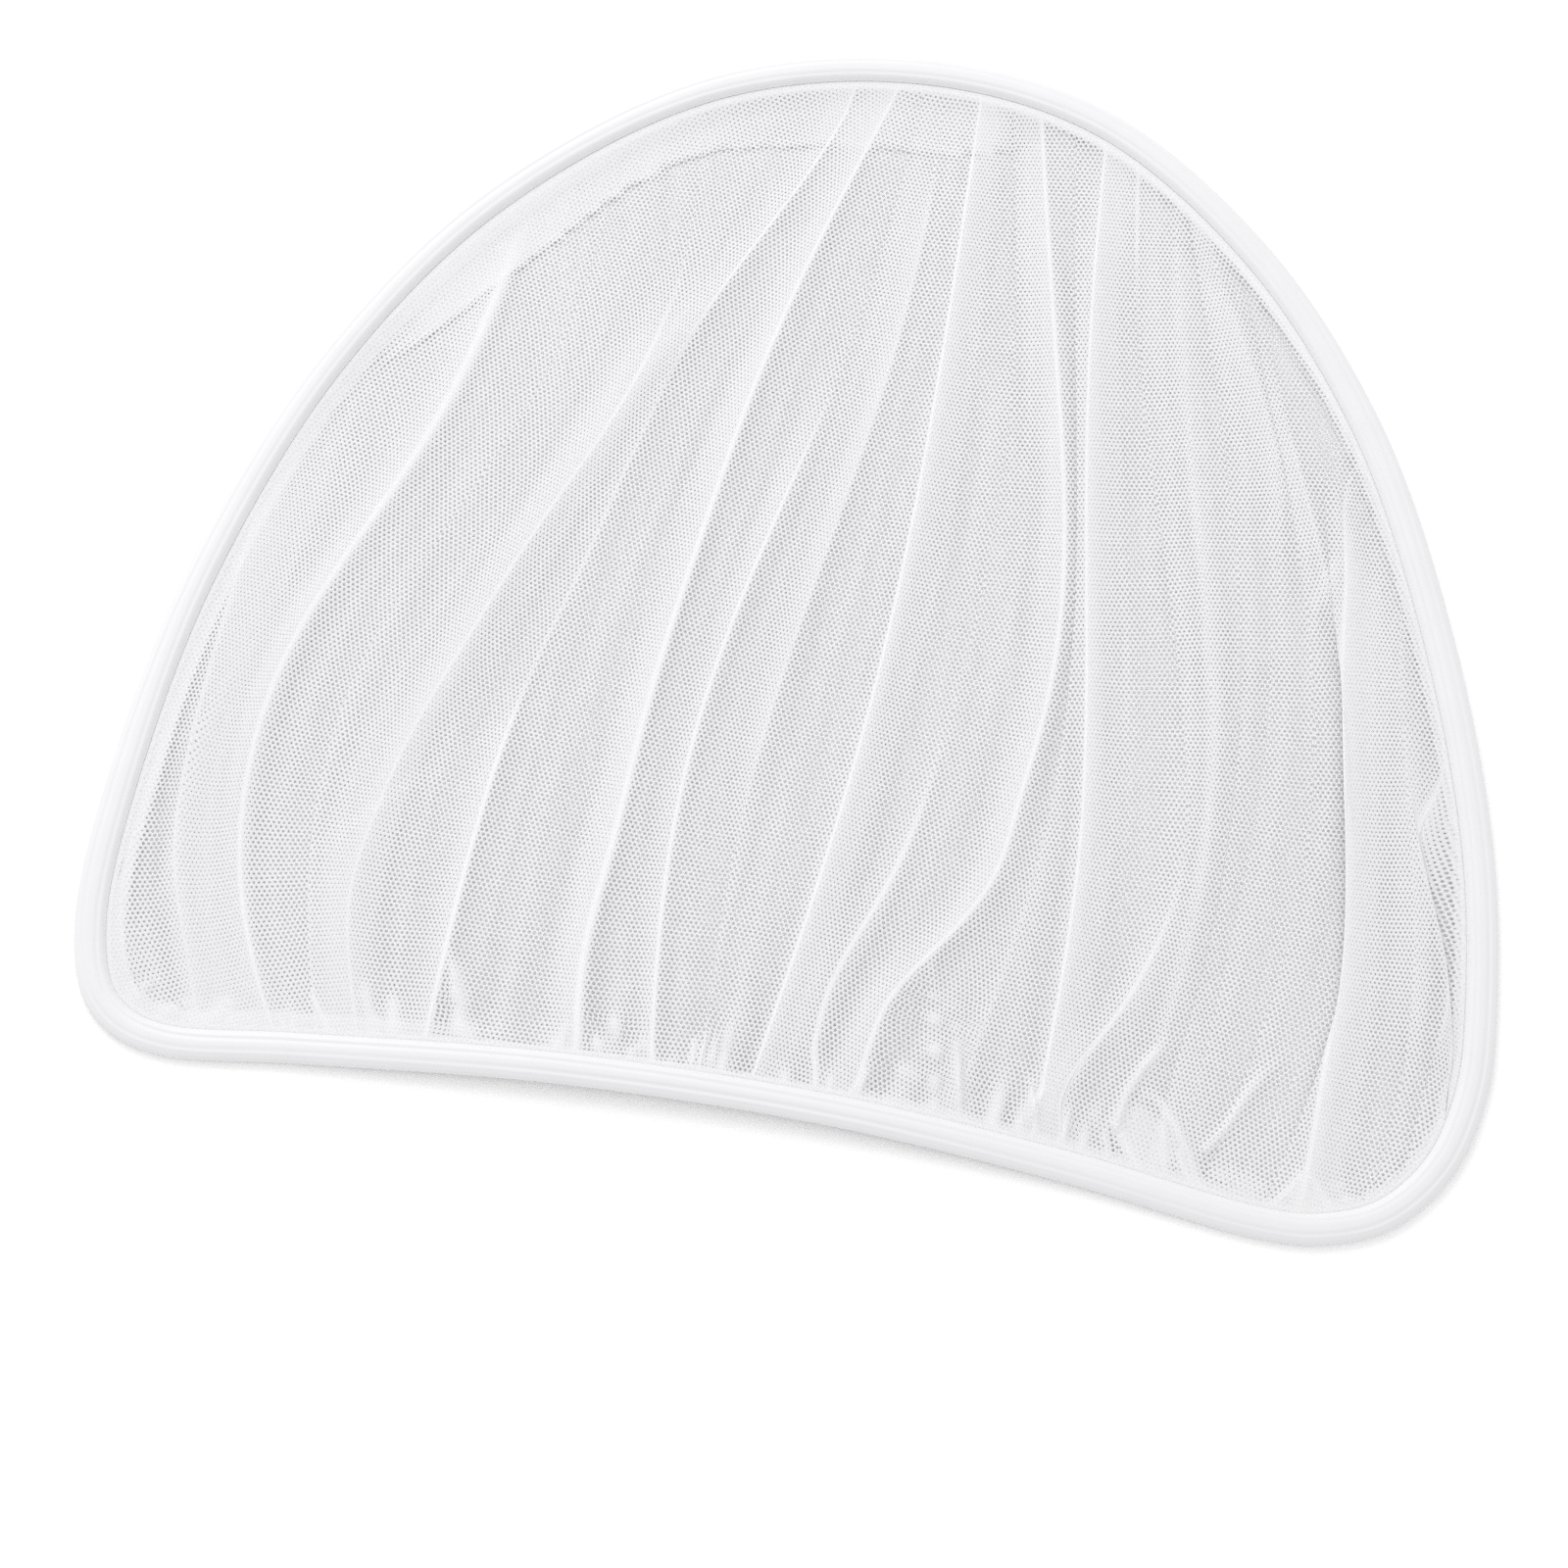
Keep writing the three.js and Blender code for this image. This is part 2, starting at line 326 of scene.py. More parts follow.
@dataclass(frozen=True)
class Strip:
    """A strip of cloth beside the binding, whose meshes look closer or wider than elsewhere.

    change is by how much. x, y and gap bound it, in plan and away from the binding.
    """

    change: float
    x: tuple[Ramp, ...]
    y: tuple[Ramp, ...] = ()
    gap: tuple[Ramp, ...] = ()

    def on(self, plan: np.ndarray, gap: np.ndarray) -> np.ndarray:
        """The change at these plan points, which are so far from the binding.

        Args:
            plan: Plan points.
            gap: How far each is from the binding.

        Returns:
            The change, from 0 outside the strip.
        """
        change = np.full(gap.shape, self.change)
        for ramps, values in ((self.x, plan[..., 0]), (self.y, plan[..., 1]), (self.gap, gap)):
            for ramp in ramps:
                change = change * ramp.at(values)
        return change


@dataclass(frozen=True)
class Groove:
    """A soft lengthwise groove in the top of the binding.

    at is its place across the band, and width and depth are its size. It follows the band's
    wander by a share, and its depth varies in so many waves round the loop.
    """

    at: float
    width: float
    depth: float
    follows: float = 0.0
    varies: float = 0.0
    waves: int = 0
    phase: float = 0.0

    def on(self, across: np.ndarray, turn: float, wander: float) -> np.ndarray:
        """How deep it is at these places across the band, at an angle round the loop."""
        depth = self.depth + self.varies * math.sin(self.waves * turn + self.phase)
        return depth * bell(across - self.at - self.follows * wander, self.width)


# The middle line of the binding, clockwise from the lower left corner.
LOOP = (
    LoopRow(-254, -212),
    LoopRow(-263, -183),
    LoopRow(-262.6, -119.5),
    LoopRow(-251, -36),
    LoopRow(-219.5, 61),
    LoopRow(-167.5, 145),
    LoopRow(-87.5, 210.5),
    LoopRow(-4, 231.5),
    LoopRow(72.5, 219.5),
    LoopRow(142.5, 169.5),
    LoopRow(195, 100),
    LoopRow(230.5, 19.5),
    LoopRow(256, -69.5),
    LoopRow(264, -135.5),
    LoopRow(263.5, -170),
    LoopRow(254.5, -200),
    LoopRow(236, -221.5),
    LoopRow(213, -230.5),
    LoopRow(190, -231.5),
    LoopRow(116.5, -222, 1),
    LoopRow(24.5, -215, 3.5),
    LoopRow(-78, -215.5, 4),
    LoopRow(-175, -222.5, 0.8),
    LoopRow(-225, -227),
    LoopRow(-242.5, -222.5),
)
# Where the net's curved edge ends and its straight edge begins.
RIGHT_CORNER = (249.0, -209.0)

# The loose edge of the turned cloth, from the upper left to the crown.
TURNED_EDGE = (
    (-201.0, 62.0),
    (-184.0, 78.0),
    (-164.0, 101.0),
    (-142.3, 127.5),
    (-115.4, 159.3),
    (-98.0, 173.5),
    (-81.4, 183.3),
    (-54.8, 188.5),
    (-30.8, 192.3),
    (-4.0, 194.5),
    (22.2, 196.2),
    (45.2, 203.6),
)

# The folds from left to right, between the two corners.
FOLDS = (
    Fold(0, 0, 0, 0),
    Fold(0.12, 0.05, -11, 5, 2.2, 0.35, 1.5, 1.8, Veil(6, 0.2), Veil(3, 0.1), (Span(0.2, 1),)),
    Fold(
        0.205, 0.089, -23, 4, 3.8, 0.6, 2.0, 1.4, Veil(4, 0.3), Veil(13, 0.4), (Span(0.08, 1),),
        (Bow(0.5, 5, 0.3), Bow(0.85, 2, 0.1)),
    ),
    Fold(
        0.35, 0.144, -36, 14, 5.6, 0.85, 6.5, 1.8, Veil(12, 0.4), Veil(3.5, 0.3), (Span(0.1, 1),),
        (Bow(0.37, 6, 0.22), Bow(0.87, -3.5, 0.12)),
    ),
    Fold(0.385, 0.175, -20, 18, 2.6, 0.4, 1.4, 1.4, Veil(5, 0.15), Veil(5, 0.15), (Span(0.9, 1),)),
    Fold(
        0.419, 0.204, -7, 20, 5.4, 0.75, 3.2, 1.5, Veil(12, 0.5), Veil(9, 0.4), (Span(0.22, 1),),
        (Bow(0.62, 4.5, 0.12), Bow(0.88, -5.5, 0.08)),
    ),
    Fold(
        0.4765, 0.253, -23.5, 3, 5.2, 0.95, 0.9, 2.2, Veil(9, 0.35), Veil(2, 0.1),
        (Span(0, 0.34), Span(0.3, 0.7, 0.4), Span(0.68, 1)),
        (Bow(0.08, 3, 0.1), Bow(0.3, -3.5, 0.1), Bow(0.55, 2.5, 0.1)),
    ),
    Fold(
        0.492, 0.365, -21, 0, 6, 0.9, 1.4, 4.2, Veil(8, 0.5), Veil(2.5, 0.15), (Span(0, 1),),
        (Bow(0.5, 2.2, 0.15), Bow(0.9, -3.5, 0.08)),
    ),
    Fold(0.5, 0.422, -12.5, 9, 5, 0.85, 1.4, 2.0, Veil(6, 0.4), Veil(3, 0.2), (Span(0.38, 1),)),
    Fold(0.508, 0.458, -2.5, 7, 3, 0.45, 3.2, 2.0, Veil(9, 0.4), Veil(3, 0.1), (Span(0.1, 0.75),)),
    Fold(0.521, 0.495, 12.5, -1, 7, 1.0, 1.2, 1.3, Veil(2.5, 0.2), Veil(9, 0.45)),
    Fold(
        0.532, 0.541, 27, 1, 3.6, 0.75, 2.2, 2.8, Veil(6, 0.3), Veil(4, 0.2), (Span(0.72, 1),),
        (Bow(0.9, -9, 0.09),),
    ),
    Fold(
        0.543, 0.565, 41, -6, 6, 0.85, 2.0, 2.8, Veil(9, 0.45), Veil(3, 0.2), (Span(0, 1),),
        (Bow(0.55, 5, 0.28), Bow(0.77, 4, 0.06), Bow(0.9, -8, 0.06)),
    ),
    Fold(0.557, 0.641, 24, -5, 2.8, 0.25, 5.0, 5.0, Veil(10, 0.2), Veil(8, 0.2), (Span(0.7, 1),)),
    Fold(
        0.57, 0.705, 6, -4.5, 6.6, 1.0, 1.2, 1.8, Veil(3.5, 0.35), Veil(9, 0.5), (Span(0, 1),),
        (Bow(0.72, 1.2, 0.15),),
    ),
    Fold(
        0.584, 0.723, 30, -12, 5, 0.8, 1.8, 3.0, Veil(6, 0.35), Veil(6, 0.3),
        (Span(0, 0.13, 0.8), Span(0.78, 1)),
        (Bow(0.72, 5, 0.1), Bow(0.93, -8, 0.06)),
    ),
    Fold(0.6, 0.765, 26, -7, 3.4, 0.3, 9.0, 9.0, Veil(10, 0.2), Veil(9, 0.2), (Span(0.05, 0.9),)),
    Fold(0.606, 0.7875, 30, -2.5),
    Fold(
        0.612, 0.81, 34, 2, 3.4, 0.3, 5.0, 5.0, Veil(11, 0.35), Veil(6, 0.2),
        (Span(0, 0.34), Span(0.85, 1, 0.6)),
        (Bow(0.27, 7, 0.12),),
    ),
    Fold(0.632, 0.83, 38, -4),
    Fold(
        0.652, 0.85, 42, -10, 3.2, 0.35, 4.0, 3.0, Veil(9, 0.3), Veil(3, 0.15), (Span(0.14, 0.36),),
        (Bow(0.12, -3, 0.1),),
    ),
    Fold(0.69, 0.877, 22, -8),
    Fold(
        0.725, 0.904, 4, -5.5, 5.2, 0.9, 1.6, 3.4, Veil(4, 0.35), Veil(12, 0.6), (Span(0.07, 1),),
        (Bow(0.08, -5, 0.08), Bow(0.82, -2, 0.1)),
    ),
    Fold(0.765, 0.955, 10, -5, 3.6, 0.3, 2.6, 2.6, Veil(9, 0.25), Veil(6, 0.3), (Span(0.1, 0.75),)),
    Fold(
        0.83, 0.985, 5, -1, 3, 0.8, 1.4, 1.4, Veil(3, 0.3), Veil(6, 0.5), (Span(0.12, 0.68),),
        (Bow(0.29, -10, 0.12), Bow(0.6, 5, 0.12)),
    ),
    Fold(1, 1, 0, 0),
)

# The short creases from left to right.
GATHERS = (
    Gather(0.022, 14, 4, 1.0, 10),
    Gather(0.045, 9, 5, 1.4, 8),
    Gather(0.082, 10, 4, 1.6, -9, 0.9),
    Gather(0.118, 12, 3, 1.2, -6),
    Gather(0.150, 12, 3, 1.2, -3),
    Gather(0.160, 14, 4, 1.4, -5),
    Gather(0.213, 12, 4, 1.2, 0),
    Gather(0.233, 17, 3, 1.4, -2, 0.9),
    Gather(0.279, 34, 4, 2.2, -9, 0.9),
    Gather(0.345, 12, 4, 1.8, 5),
    Gather(0.353, 14, 3, 1.4, 1),
    Gather(0.377, 15, 3, 1.8, 2, 0.9),
    Gather(0.388, 29, 3, 2.4, 2, 0.9),
    Gather(0.411, 9, 4, 1.2, -4),
    Gather(0.432, 8, 3, 1.2, 3),
    Gather(0.456, 18, 3, 2.0, 1),
    Gather(0.463, 17, 3, 2.0, 1),
    Gather(0.471, 29, 4, 2.6, 3),
    Gather(0.520, 9, 3, 1.2),
    Gather(0.551, 12, 3, 1.6, 2),
    Gather(0.572, 15, 3, 2.0, 4, 0.9),
    Gather(0.600, 18, 3, 2.0, 6),
    Gather(0.632, 56, 4, 2.2, -8),
    Gather(0.652, 48, 5, 2.0, -9, 0.6),
    Gather(0.673, 28, 3, 2.2, 5, 0.9),
    Gather(0.692, 22, 3, 2.0, 4, 0.9),
    Gather(0.712, 26, 3, 2.0, -7, 0.9),
    Gather(0.728, 18, 3, 2.2, 1, 0.9),
    Gather(0.740, 22, 4, 2.4, 4, 0.9),
    Gather(0.915, 17, 6, 2.0, -6, 0.9),
    Gather(0.945, 12, 4, 1.2, -6),
)

# The pinches by the right corner, by the left corner, then the small ones between them.
RUFFLES = (
    Ruffle(((149, -167), (141, -179), (136, -190), (133, -203)), 6.0, 0.6, 0.75),
    Ruffle(((132, -202), (137, -209), (143, -217)), 5.2, 0.7, 0.6),
    Ruffle(((128, -202), (130, -208), (132, -215)), 3.2, 0.7, 0.5),
    Ruffle(((141, -189), (148, -191), (156, -201), (162, -211), (167, -222)), 6.0, 0.6, 0.75),
    Ruffle(((150, -193), (152, -205), (154, -219)), 2.6, 0.5, 0.3),
    Ruffle(((157, -208), (160, -215), (164, -221)), 2.8, 0.8, 0.45),
    Ruffle(((193, -165), (186, -174), (180, -185), (174, -198), (168, -207)), 6.0, 0.42, 0.6),
    Ruffle(((205, -210), (201, -216), (195, -224)), 3.6, 0.8, 0.4),
    Ruffle(((206, -210), (211, -216), (216, -222)), 3.6, 0.8, 0.4),
    Ruffle(((-201, -206), (-207, -212), (-212, -220)), 5.6, 0.8, 0.5),
    Ruffle(((-215, -210), (-222, -212), (-229, -219)), 2.6, 0.6, 0.25),
    Ruffle(((-123, -177), (-118, -191), (-112, -208)), 5.2, 0.55, 0.6),
    Ruffle(((-155, -192), (-151, -202), (-147, -212)), 4.4, 0.55, 0.45),
    Ruffle(((-174, -200), (-169, -207), (-164, -214)), 3.2, 0.8, 0.4),
    Ruffle(((-143, -196), (-141, -203), (-140, -211)), 2.8, 0.8, 0.4),
    Ruffle(((-50, -205), (-46, -201), (-42, -202), (-41, -207)), 2.4, 0.7, 0.3),
    Ruffle(((-26, -194), (-27, -200), (-27, -206)), 3.2, 0.7, 0.4),
    Ruffle(((52, -191), (49, -200), (47, -208)), 3.0, 0.7, 0.4),
    Ruffle(((89, -190), (87, -200), (86, -209)), 3.0, 0.75, 0.4),
    Ruffle(((106, -192), (102, -202), (99, -211)), 4.8, 0.55, 0.5),
)

# The pressed places at the lower right, the right rim, the crown's left and the lower left.
PATCHES = (
    Patch(182, -217, 14, 5, -12, 0.3),
    Patch(205, -219, 8, 5, 0, 0.5),
    Patch(187, 27, 16, 4, 75, 0.2),
    Patch(145, -206, 17, 11, -50, 0.42),
    Patch(-122, 196, 16, 6, 20, 0.35),
    Patch(-215, -217, 7, 3, -50, 0.5),
)

# The rolled rim at the left, the rim at the right, and the thin haze over the left side.
CLOSER_STRIPS = (
    Strip(0.42, x=(Ramp(-90, -150),), gap=(Ramp(8.2, 6.6),)),
    Strip(0.4, x=(Ramp(10, 60),), gap=(Ramp(4.6, 4.0),)),
    Strip(0.12, x=(Ramp(-120, -210),)),
)
# The stretched cloth beside the rim at the lower left and at the upper right.
WIDER_STRIPS = (
    Strip(
        0.22, x=(Ramp(-160, -180),), y=(Ramp(-195, -150), Ramp(0, -100)), gap=(Ramp(7.5, 9), Ramp(21, 15))
    ),
    Strip(0.2, x=(Ramp(95, 115),), y=(Ramp(20, 60), Ramp(178, 160)), gap=(Ramp(4.6, 5.4), Ramp(20, 13))),
)

# The binding's inner groove, its outer groove and the faint one near its outer edge.
GROOVES = (
    Groove(2.4, 0.8, 0.26, 1.0, 0.1, 2, 2.0),
    Groove(-2.3, 0.85, 0.28, -0.6, 0.08, 5),
    Groove(-4.4, 0.5, 0.14),
)


@dataclass
class Line:
    """A plan line measured along its length, so that a share of it gives a point."""

    points: np.ndarray
    reached: np.ndarray = field(init=False)

    def __post_init__(self) -> None:
        """Measures the line."""
        self.reached = running(np.linalg.norm(np.diff(self.points, axis=0), axis=1))

    @property
    def length(self) -> float:
        """The whole length of the line."""
        return float(self.reached[-1])

    def at(self, share: Any) -> np.ndarray:
        """The points at these shares of the line's length.

        Args:
            share: One share or more of the length.

        Returns:
            The points, one for each share.
        """
        wanted = np.clip(share, 0, 1) * self.length
        columns = [np.interp(wanted, self.reached, c) for c in self.points.T]
        return np.stack(columns, axis=-1)


@dataclass
class Loop:
    """The middle line of the binding as it lies, and the two edges of the net inside it."""

    band_width: float = 12.0
    slit_depth: float = 4.0
    edge_clearance: float = 0.5
    stations: int = 448
    fineness: int = 40
    middle: np.ndarray = field(init=False)
    inward: np.ndarray = field(init=False)
    curved: Line = field(init=False)
    straight: Line = field(init=False)

    def __post_init__(self) -> None:
        """Works out the stations and both edges."""
        whole = Line(self._through_rows())
        self.middle = whole.at(np.arange(self.stations) / self.stations)
        self.middle[:, 2] = np.maximum(self.middle[:, 2], 0)
        along = np.roll(self.middle, -1, axis=0) - np.roll(self.middle, 1, axis=0)
        along = along[:, :2] / np.linalg.norm(along[:, :2], axis=1, keepdims=True)
        self.inward = np.stack([along[:, 1], -along[:, 0]], axis=1)
        edge = self.inset(self.band_width / 2 - self.slit_depth + self.edge_clearance)
        right = int(np.argmin(np.linalg.norm(edge - np.array(RIGHT_CORNER), axis=1)))
        self.curved = Line(edge[: right + 1])
        self.straight = Line(np.concatenate([edge[right:], edge[:1]])[::-1])

    def _through_rows(self) -> np.ndarray:
        """A closed centripetal curve through the rows of the loop, as fine points.

        Returns:
            The points, with the first one again at the end.
        """
        rows = np.array([[r.x, r.y, r.lift] for r in LOOP], float)
        before, here, after, later = (np.roll(rows, k, axis=0) for k in (1, 0, -1, -2))
        gaps = [
            np.sqrt(np.linalg.norm(b - a, axis=1, keepdims=True))
            for a, b in ((before, here), (here, after), (after, later))
        ]
        first, step, last = gaps
        leave = (here - before) / first - (after - before) / (first + step) + (after - here) / step
        reach = (after - here) / step - (later - here) / (step + last) + (later - after) / last
        leave, reach = leave * step, reach * step
        square = 3 * (after - here) - 2 * leave - reach
        cube = 2 * (here - after) + leave + reach
        shares = np.arange(self.fineness) / self.fineness
        s = shares[None, :, None]
        points = here[:, None] + leave[:, None] * s + square[:, None] * s**2 + cube[:, None] * s**3
        flat = points.reshape(-1, 3)
        return np.concatenate([flat, flat[:1]])

    def inset(self, distance: Any) -> np.ndarray:
        """The plan points this far inside the middle line, one for each station."""
        return self.middle[:, :2] + self.inward * np.reshape(distance, (-1, 1))

    def nearest(self, plan: np.ndarray) -> tuple[np.ndarray, np.ndarray]:
        """Finds the nearest stretch of the binding.

        Args:
            plan: Points in plan, one a row.

        Returns:
            How far the binding's inner side is from each point, and how far it is lifted there.
        """
        start = self.middle[:, :2]
        run = np.roll(start, -1, axis=0) - start
        size = (run**2).sum(axis=1)
        lifts = self.middle[:, 2]
        away = plan[:, None, :] - start[None]
        share = np.clip((away * run[None]).sum(axis=2) / size, 0, 1)
        distance = np.linalg.norm(away - share[..., None] * run[None], axis=2)
        best = distance.argmin(axis=1)
        pick = np.arange(len(plan))
        part = share[pick, best]
        lift = lerp(lifts[best], np.roll(lifts, -1)[best], part)
        return distance[pick, best] - self.band_width / 2, lift

    def beside(self, plan: np.ndarray) -> tuple[np.ndarray, np.ndarray]:
        """The gap to the binding and its lift for a grid of points, one column at a time."""
        found = [self.nearest(column) for column in plan]
        return np.stack([f[0] for f in found]), np.stack([f[1] for f in found])


@dataclass
class TurnedEdge:
    """The loose edge of the cloth that is turned in at the crown, as a soft line in plan.

    The layer above looks closer over the turned cloth by doubled, by rolled more at the upper
    left, and by hem along the edge. Just below the edge it looks wider by wider.
    """

    samples: int = 61
    softenings: int = 4
    fade_in: float = 15.0
    fade_out: float = 12.0
    doubled: float = 0.2
    rolled: float = 0.22
    rolled_end: Ramp = Ramp(-60, -110)
    starts: Ramp = Ramp(0, 0.8)
    hem: float = 0.25
    hem_at: float = 1.2
    hem_width: Ramp = Ramp(1.2, 0.5)
    wider: float = 0.17
    wider_at: float = -0.8
    wider_width: Ramp = Ramp(1.3, 0.4)
    line: Line = field(init=False)

    def __post_init__(self) -> None:
        """Softens the line."""
        rough = Line(np.array(TURNED_EDGE)).at(np.linspace(0, 1, self.samples))
        for _ in range(self.softenings):
            rough[1:-1] = (rough[:-2] + 2 * rough[1:-1] + rough[2:]) / 4
        self.line = Line(rough)

    def seen_through(self, plan: np.ndarray) -> tuple[np.ndarray, np.ndarray]:
        """Says how the turned cloth changes the look of the layer above it.

        Args:
            plan: The plan points of that layer.

        Returns:
            How much closer its meshes look, and how much wider just below the edge.
        """
        line_x, line_y = self.line.points.T
        x, y = plan[..., 0], plan[..., 1]
        slope = np.interp(x, line_x, np.gradient(line_y, line_x))
        above = (y - np.interp(x, line_x, line_y)) / np.hypot(1, slope)
        begins = smooth(x, line_x[0], line_x[0] + self.fade_in)
        ends = begins * (1 - smooth(x, line_x[-1] - self.fade_out, line_x[-1]))
        pressed = (self.doubled + self.rolled * self.rolled_end.at(x)) * self.starts.at(above)
        hem = self.hem * self.hem_width.at(np.abs(above - self.hem_at))
        wider = self.wider * self.wider_width.at(np.abs(above - self.wider_at))
        return np.maximum(pressed, hem) * ends, wider * ends


@dataclass(frozen=True)
class FoldLine:
    """The plan line a share of the way from one fold to the next."""

    a: Fold
    b: Fold
    share: float
    full_bend: float = 120.0

    def ends(self, loop: Loop) -> tuple[np.ndarray, np.ndarray]:
        """The plan points of its head and its foot.

        Args:
            loop: The binding's loop.

        Returns:
            The head and the foot.
        """
        head = loop.curved.at(lerp(self.a.head, self.b.head, self.share))
        foot = loop.straight.at(lerp(self.a.foot, self.b.foot, self.share))
        return head, foot

    def at(self, loop: Loop, shares: np.ndarray) -> np.ndarray:
        """The plan points at these shares of the line from head to foot.

        Args:
            loop: The binding's loop.
            shares: Shares of its length, from the head.

        Returns:
            The plan points, one for each share.
        """
        head, foot = self.ends(loop)
        chord = foot - head
        length = max(float(np.linalg.norm(chord)), TINY)
        right = np.array([-chord[1], chord[0]]) / length
        bend = lerp(self.a.bend(shares), self.b.bend(shares), self.share)
        reach = min(1.0, length / self.full_bend)
        return head + chord * shares[:, None] + right * (bend * reach)[:, None]

    def length(self, loop: Loop) -> float:
        """The straight distance from head to foot."""
        head, foot = self.ends(loop)
        return float(np.linalg.norm(head - foot))


class Value:
    """A shader number: a socket whose sums and products add Math nodes."""

    def __init__(self, recipe: "Recipe", socket: bpy.types.NodeSocket) -> None:
        """Keeps the socket and the recipe that it belongs to."""
        self.recipe = recipe
        self.socket = socket

    def _math(self, operation: str, *terms: Any) -> "Value":
        """Adds one Math node on these terms, in order."""
        node = self.recipe.node("ShaderNodeMath", {"operation": operation}, dict(enumerate(terms)))
        return Value(self.recipe, node.outputs[0])

    def __add__(self, other: Any) -> "Value":
        """This number plus another."""
        return self._math("ADD", self, other)

    def __radd__(self, other: Any) -> "Value":
        """Another number plus this one."""
        return self._math("ADD", other, self)

    def __sub__(self, other: Any) -> "Value":
        """This number less another."""
        return self._math("SUBTRACT", self, other)

    def __rsub__(self, other: Any) -> "Value":
        """Another number less this one."""
        return self._math("SUBTRACT", other, self)

    def __mul__(self, other: Any) -> "Value":
        """This number times another."""
        return self._math("MULTIPLY", self, other)

    def __rmul__(self, other: Any) -> "Value":
        """Another number times this one."""
        return self._math("MULTIPLY", other, self)

    def __truediv__(self, other: Any) -> "Value":
        """This number over another."""
        return self._math("DIVIDE", self, other)

    def fract(self) -> "Value":
        """What is left past the last whole number."""
        return self._math("FRACT", self)

    def root(self) -> "Value":
        """The square root."""
        return self._math("SQRT", self)

    def sine(self) -> "Value":
        """The sine."""
        return self._math("SINE", self)

    def least(self, other: Any) -> "Value":
        """The smaller of this number and another."""
        return self._math("MINIMUM", self, other)

    def rise(self, low: Any, high: Any) -> "Value":
        """Rises softly from 0 at low to 1 at high.

        Args:
            low: Where the rise begins.
            high: Where it ends.

        Returns:
            The graded number.
        """
        settings = {"interpolation_type": "SMOOTHSTEP"}
        values = {"Value": self, "From Min": low, "From Max": high}
        node = self.recipe.node("ShaderNodeMapRange", settings, values)
        return Value(self.recipe, node.outputs["Result"])


class Recipe:
    """One material while it is put together."""

    def __init__(self, name: str) -> None:
        """Starts an empty material.

        Args:
            name: Its name.
        """
        self.material = bpy.data.materials.new(name)
        self.material.use_nodes = True
        self.tree = self.material.node_tree
        self.tree.nodes.clear()

    def node(self, kind: str, settings: dict[str, Any], values: dict[Any, Any]) -> bpy.types.Node:
        """Adds a node.

        Args:
            kind: The node's type.
            settings: Its settings, which are set first.
            values: Numbers, colours or links for its input sockets, by name or number.

        Returns:
            The new node.
        """
        made = self.tree.nodes.new(kind)
        for name, setting in settings.items():
            setattr(made, name, setting)
        for key, value in values.items():
            socket = made.inputs[key]
            if isinstance(value, Value):
                self.tree.links.new(value.socket, socket)
            elif isinstance(value, bpy.types.NodeSocket):
                self.tree.links.new(value, socket)
            else:
                socket.default_value = value
        return made

    def place(self) -> bpy.types.NodeSocket:
        """The piece's own cloth coordinates, in metres."""
        return self.node("ShaderNodeUVMap", {"uv_map": CLOTH_UV}, {}).outputs[0]

    def parts(self, vector: bpy.types.NodeSocket) -> tuple[Value, Value]:
        """The first two numbers of a vector."""
        split = self.node("ShaderNodeSeparateXYZ", {}, {0: vector})
        return Value(self, split.outputs[0]), Value(self, split.outputs[1])

    def attribute(self, name: str) -> Value:
        """A number that the piece's own points carry."""
        carried = self.node("ShaderNodeAttribute", {"attribute_name": name}, {})
        return Value(self, carried.outputs["Fac"])

    def noise(self, place: bpy.types.NodeSocket, scale: float, detail: float) -> Value:
        """Soft cloud-like noise at a scale of so many lumps a metre.

        Args:
            place: Where it is read.
            scale: How many lumps a metre.
            detail: How many finer layers.

        Returns:
            The noise, from 0 to 1.
        """
        values = {"Vector": place, "Scale": scale, "Detail": detail}
        made = self.node("ShaderNodeTexNoise", {"noise_dimensions": "2D"}, values)
        return Value(self, made.outputs["Fac"])

    def blend(self, share: Any, a: Sequence[float], b: Sequence[float]) -> bpy.types.NodeSocket:
        """A colour that goes from a to b by a share.

        Args:
            share: How far towards b.
            a: The first colour.
            b: The second colour.

        Returns:
            The colour.
        """
        values = {"Factor": share, 6: (*a, 1.0), 7: (*b, 1.0)}
        made = self.node("ShaderNodeMix", {"data_type": "RGBA"}, values)
        return made.outputs[2]

    def relief(self, height: Value, strength: float, distance: float) -> bpy.types.NodeSocket:
        """A fine relief of so many metres, as a bent normal."""
        values = {"Height": height, "Strength": strength, "Distance": distance}
        return self.node("ShaderNodeBump", {}, values).outputs[0]

    def finish(self, shader: bpy.types.Node) -> bpy.types.Material:
        """Makes a shader the material's surface and gives the material back."""
        self.node("ShaderNodeOutputMaterial", {}, {"Surface": shader.outputs[0]})
        return self.material


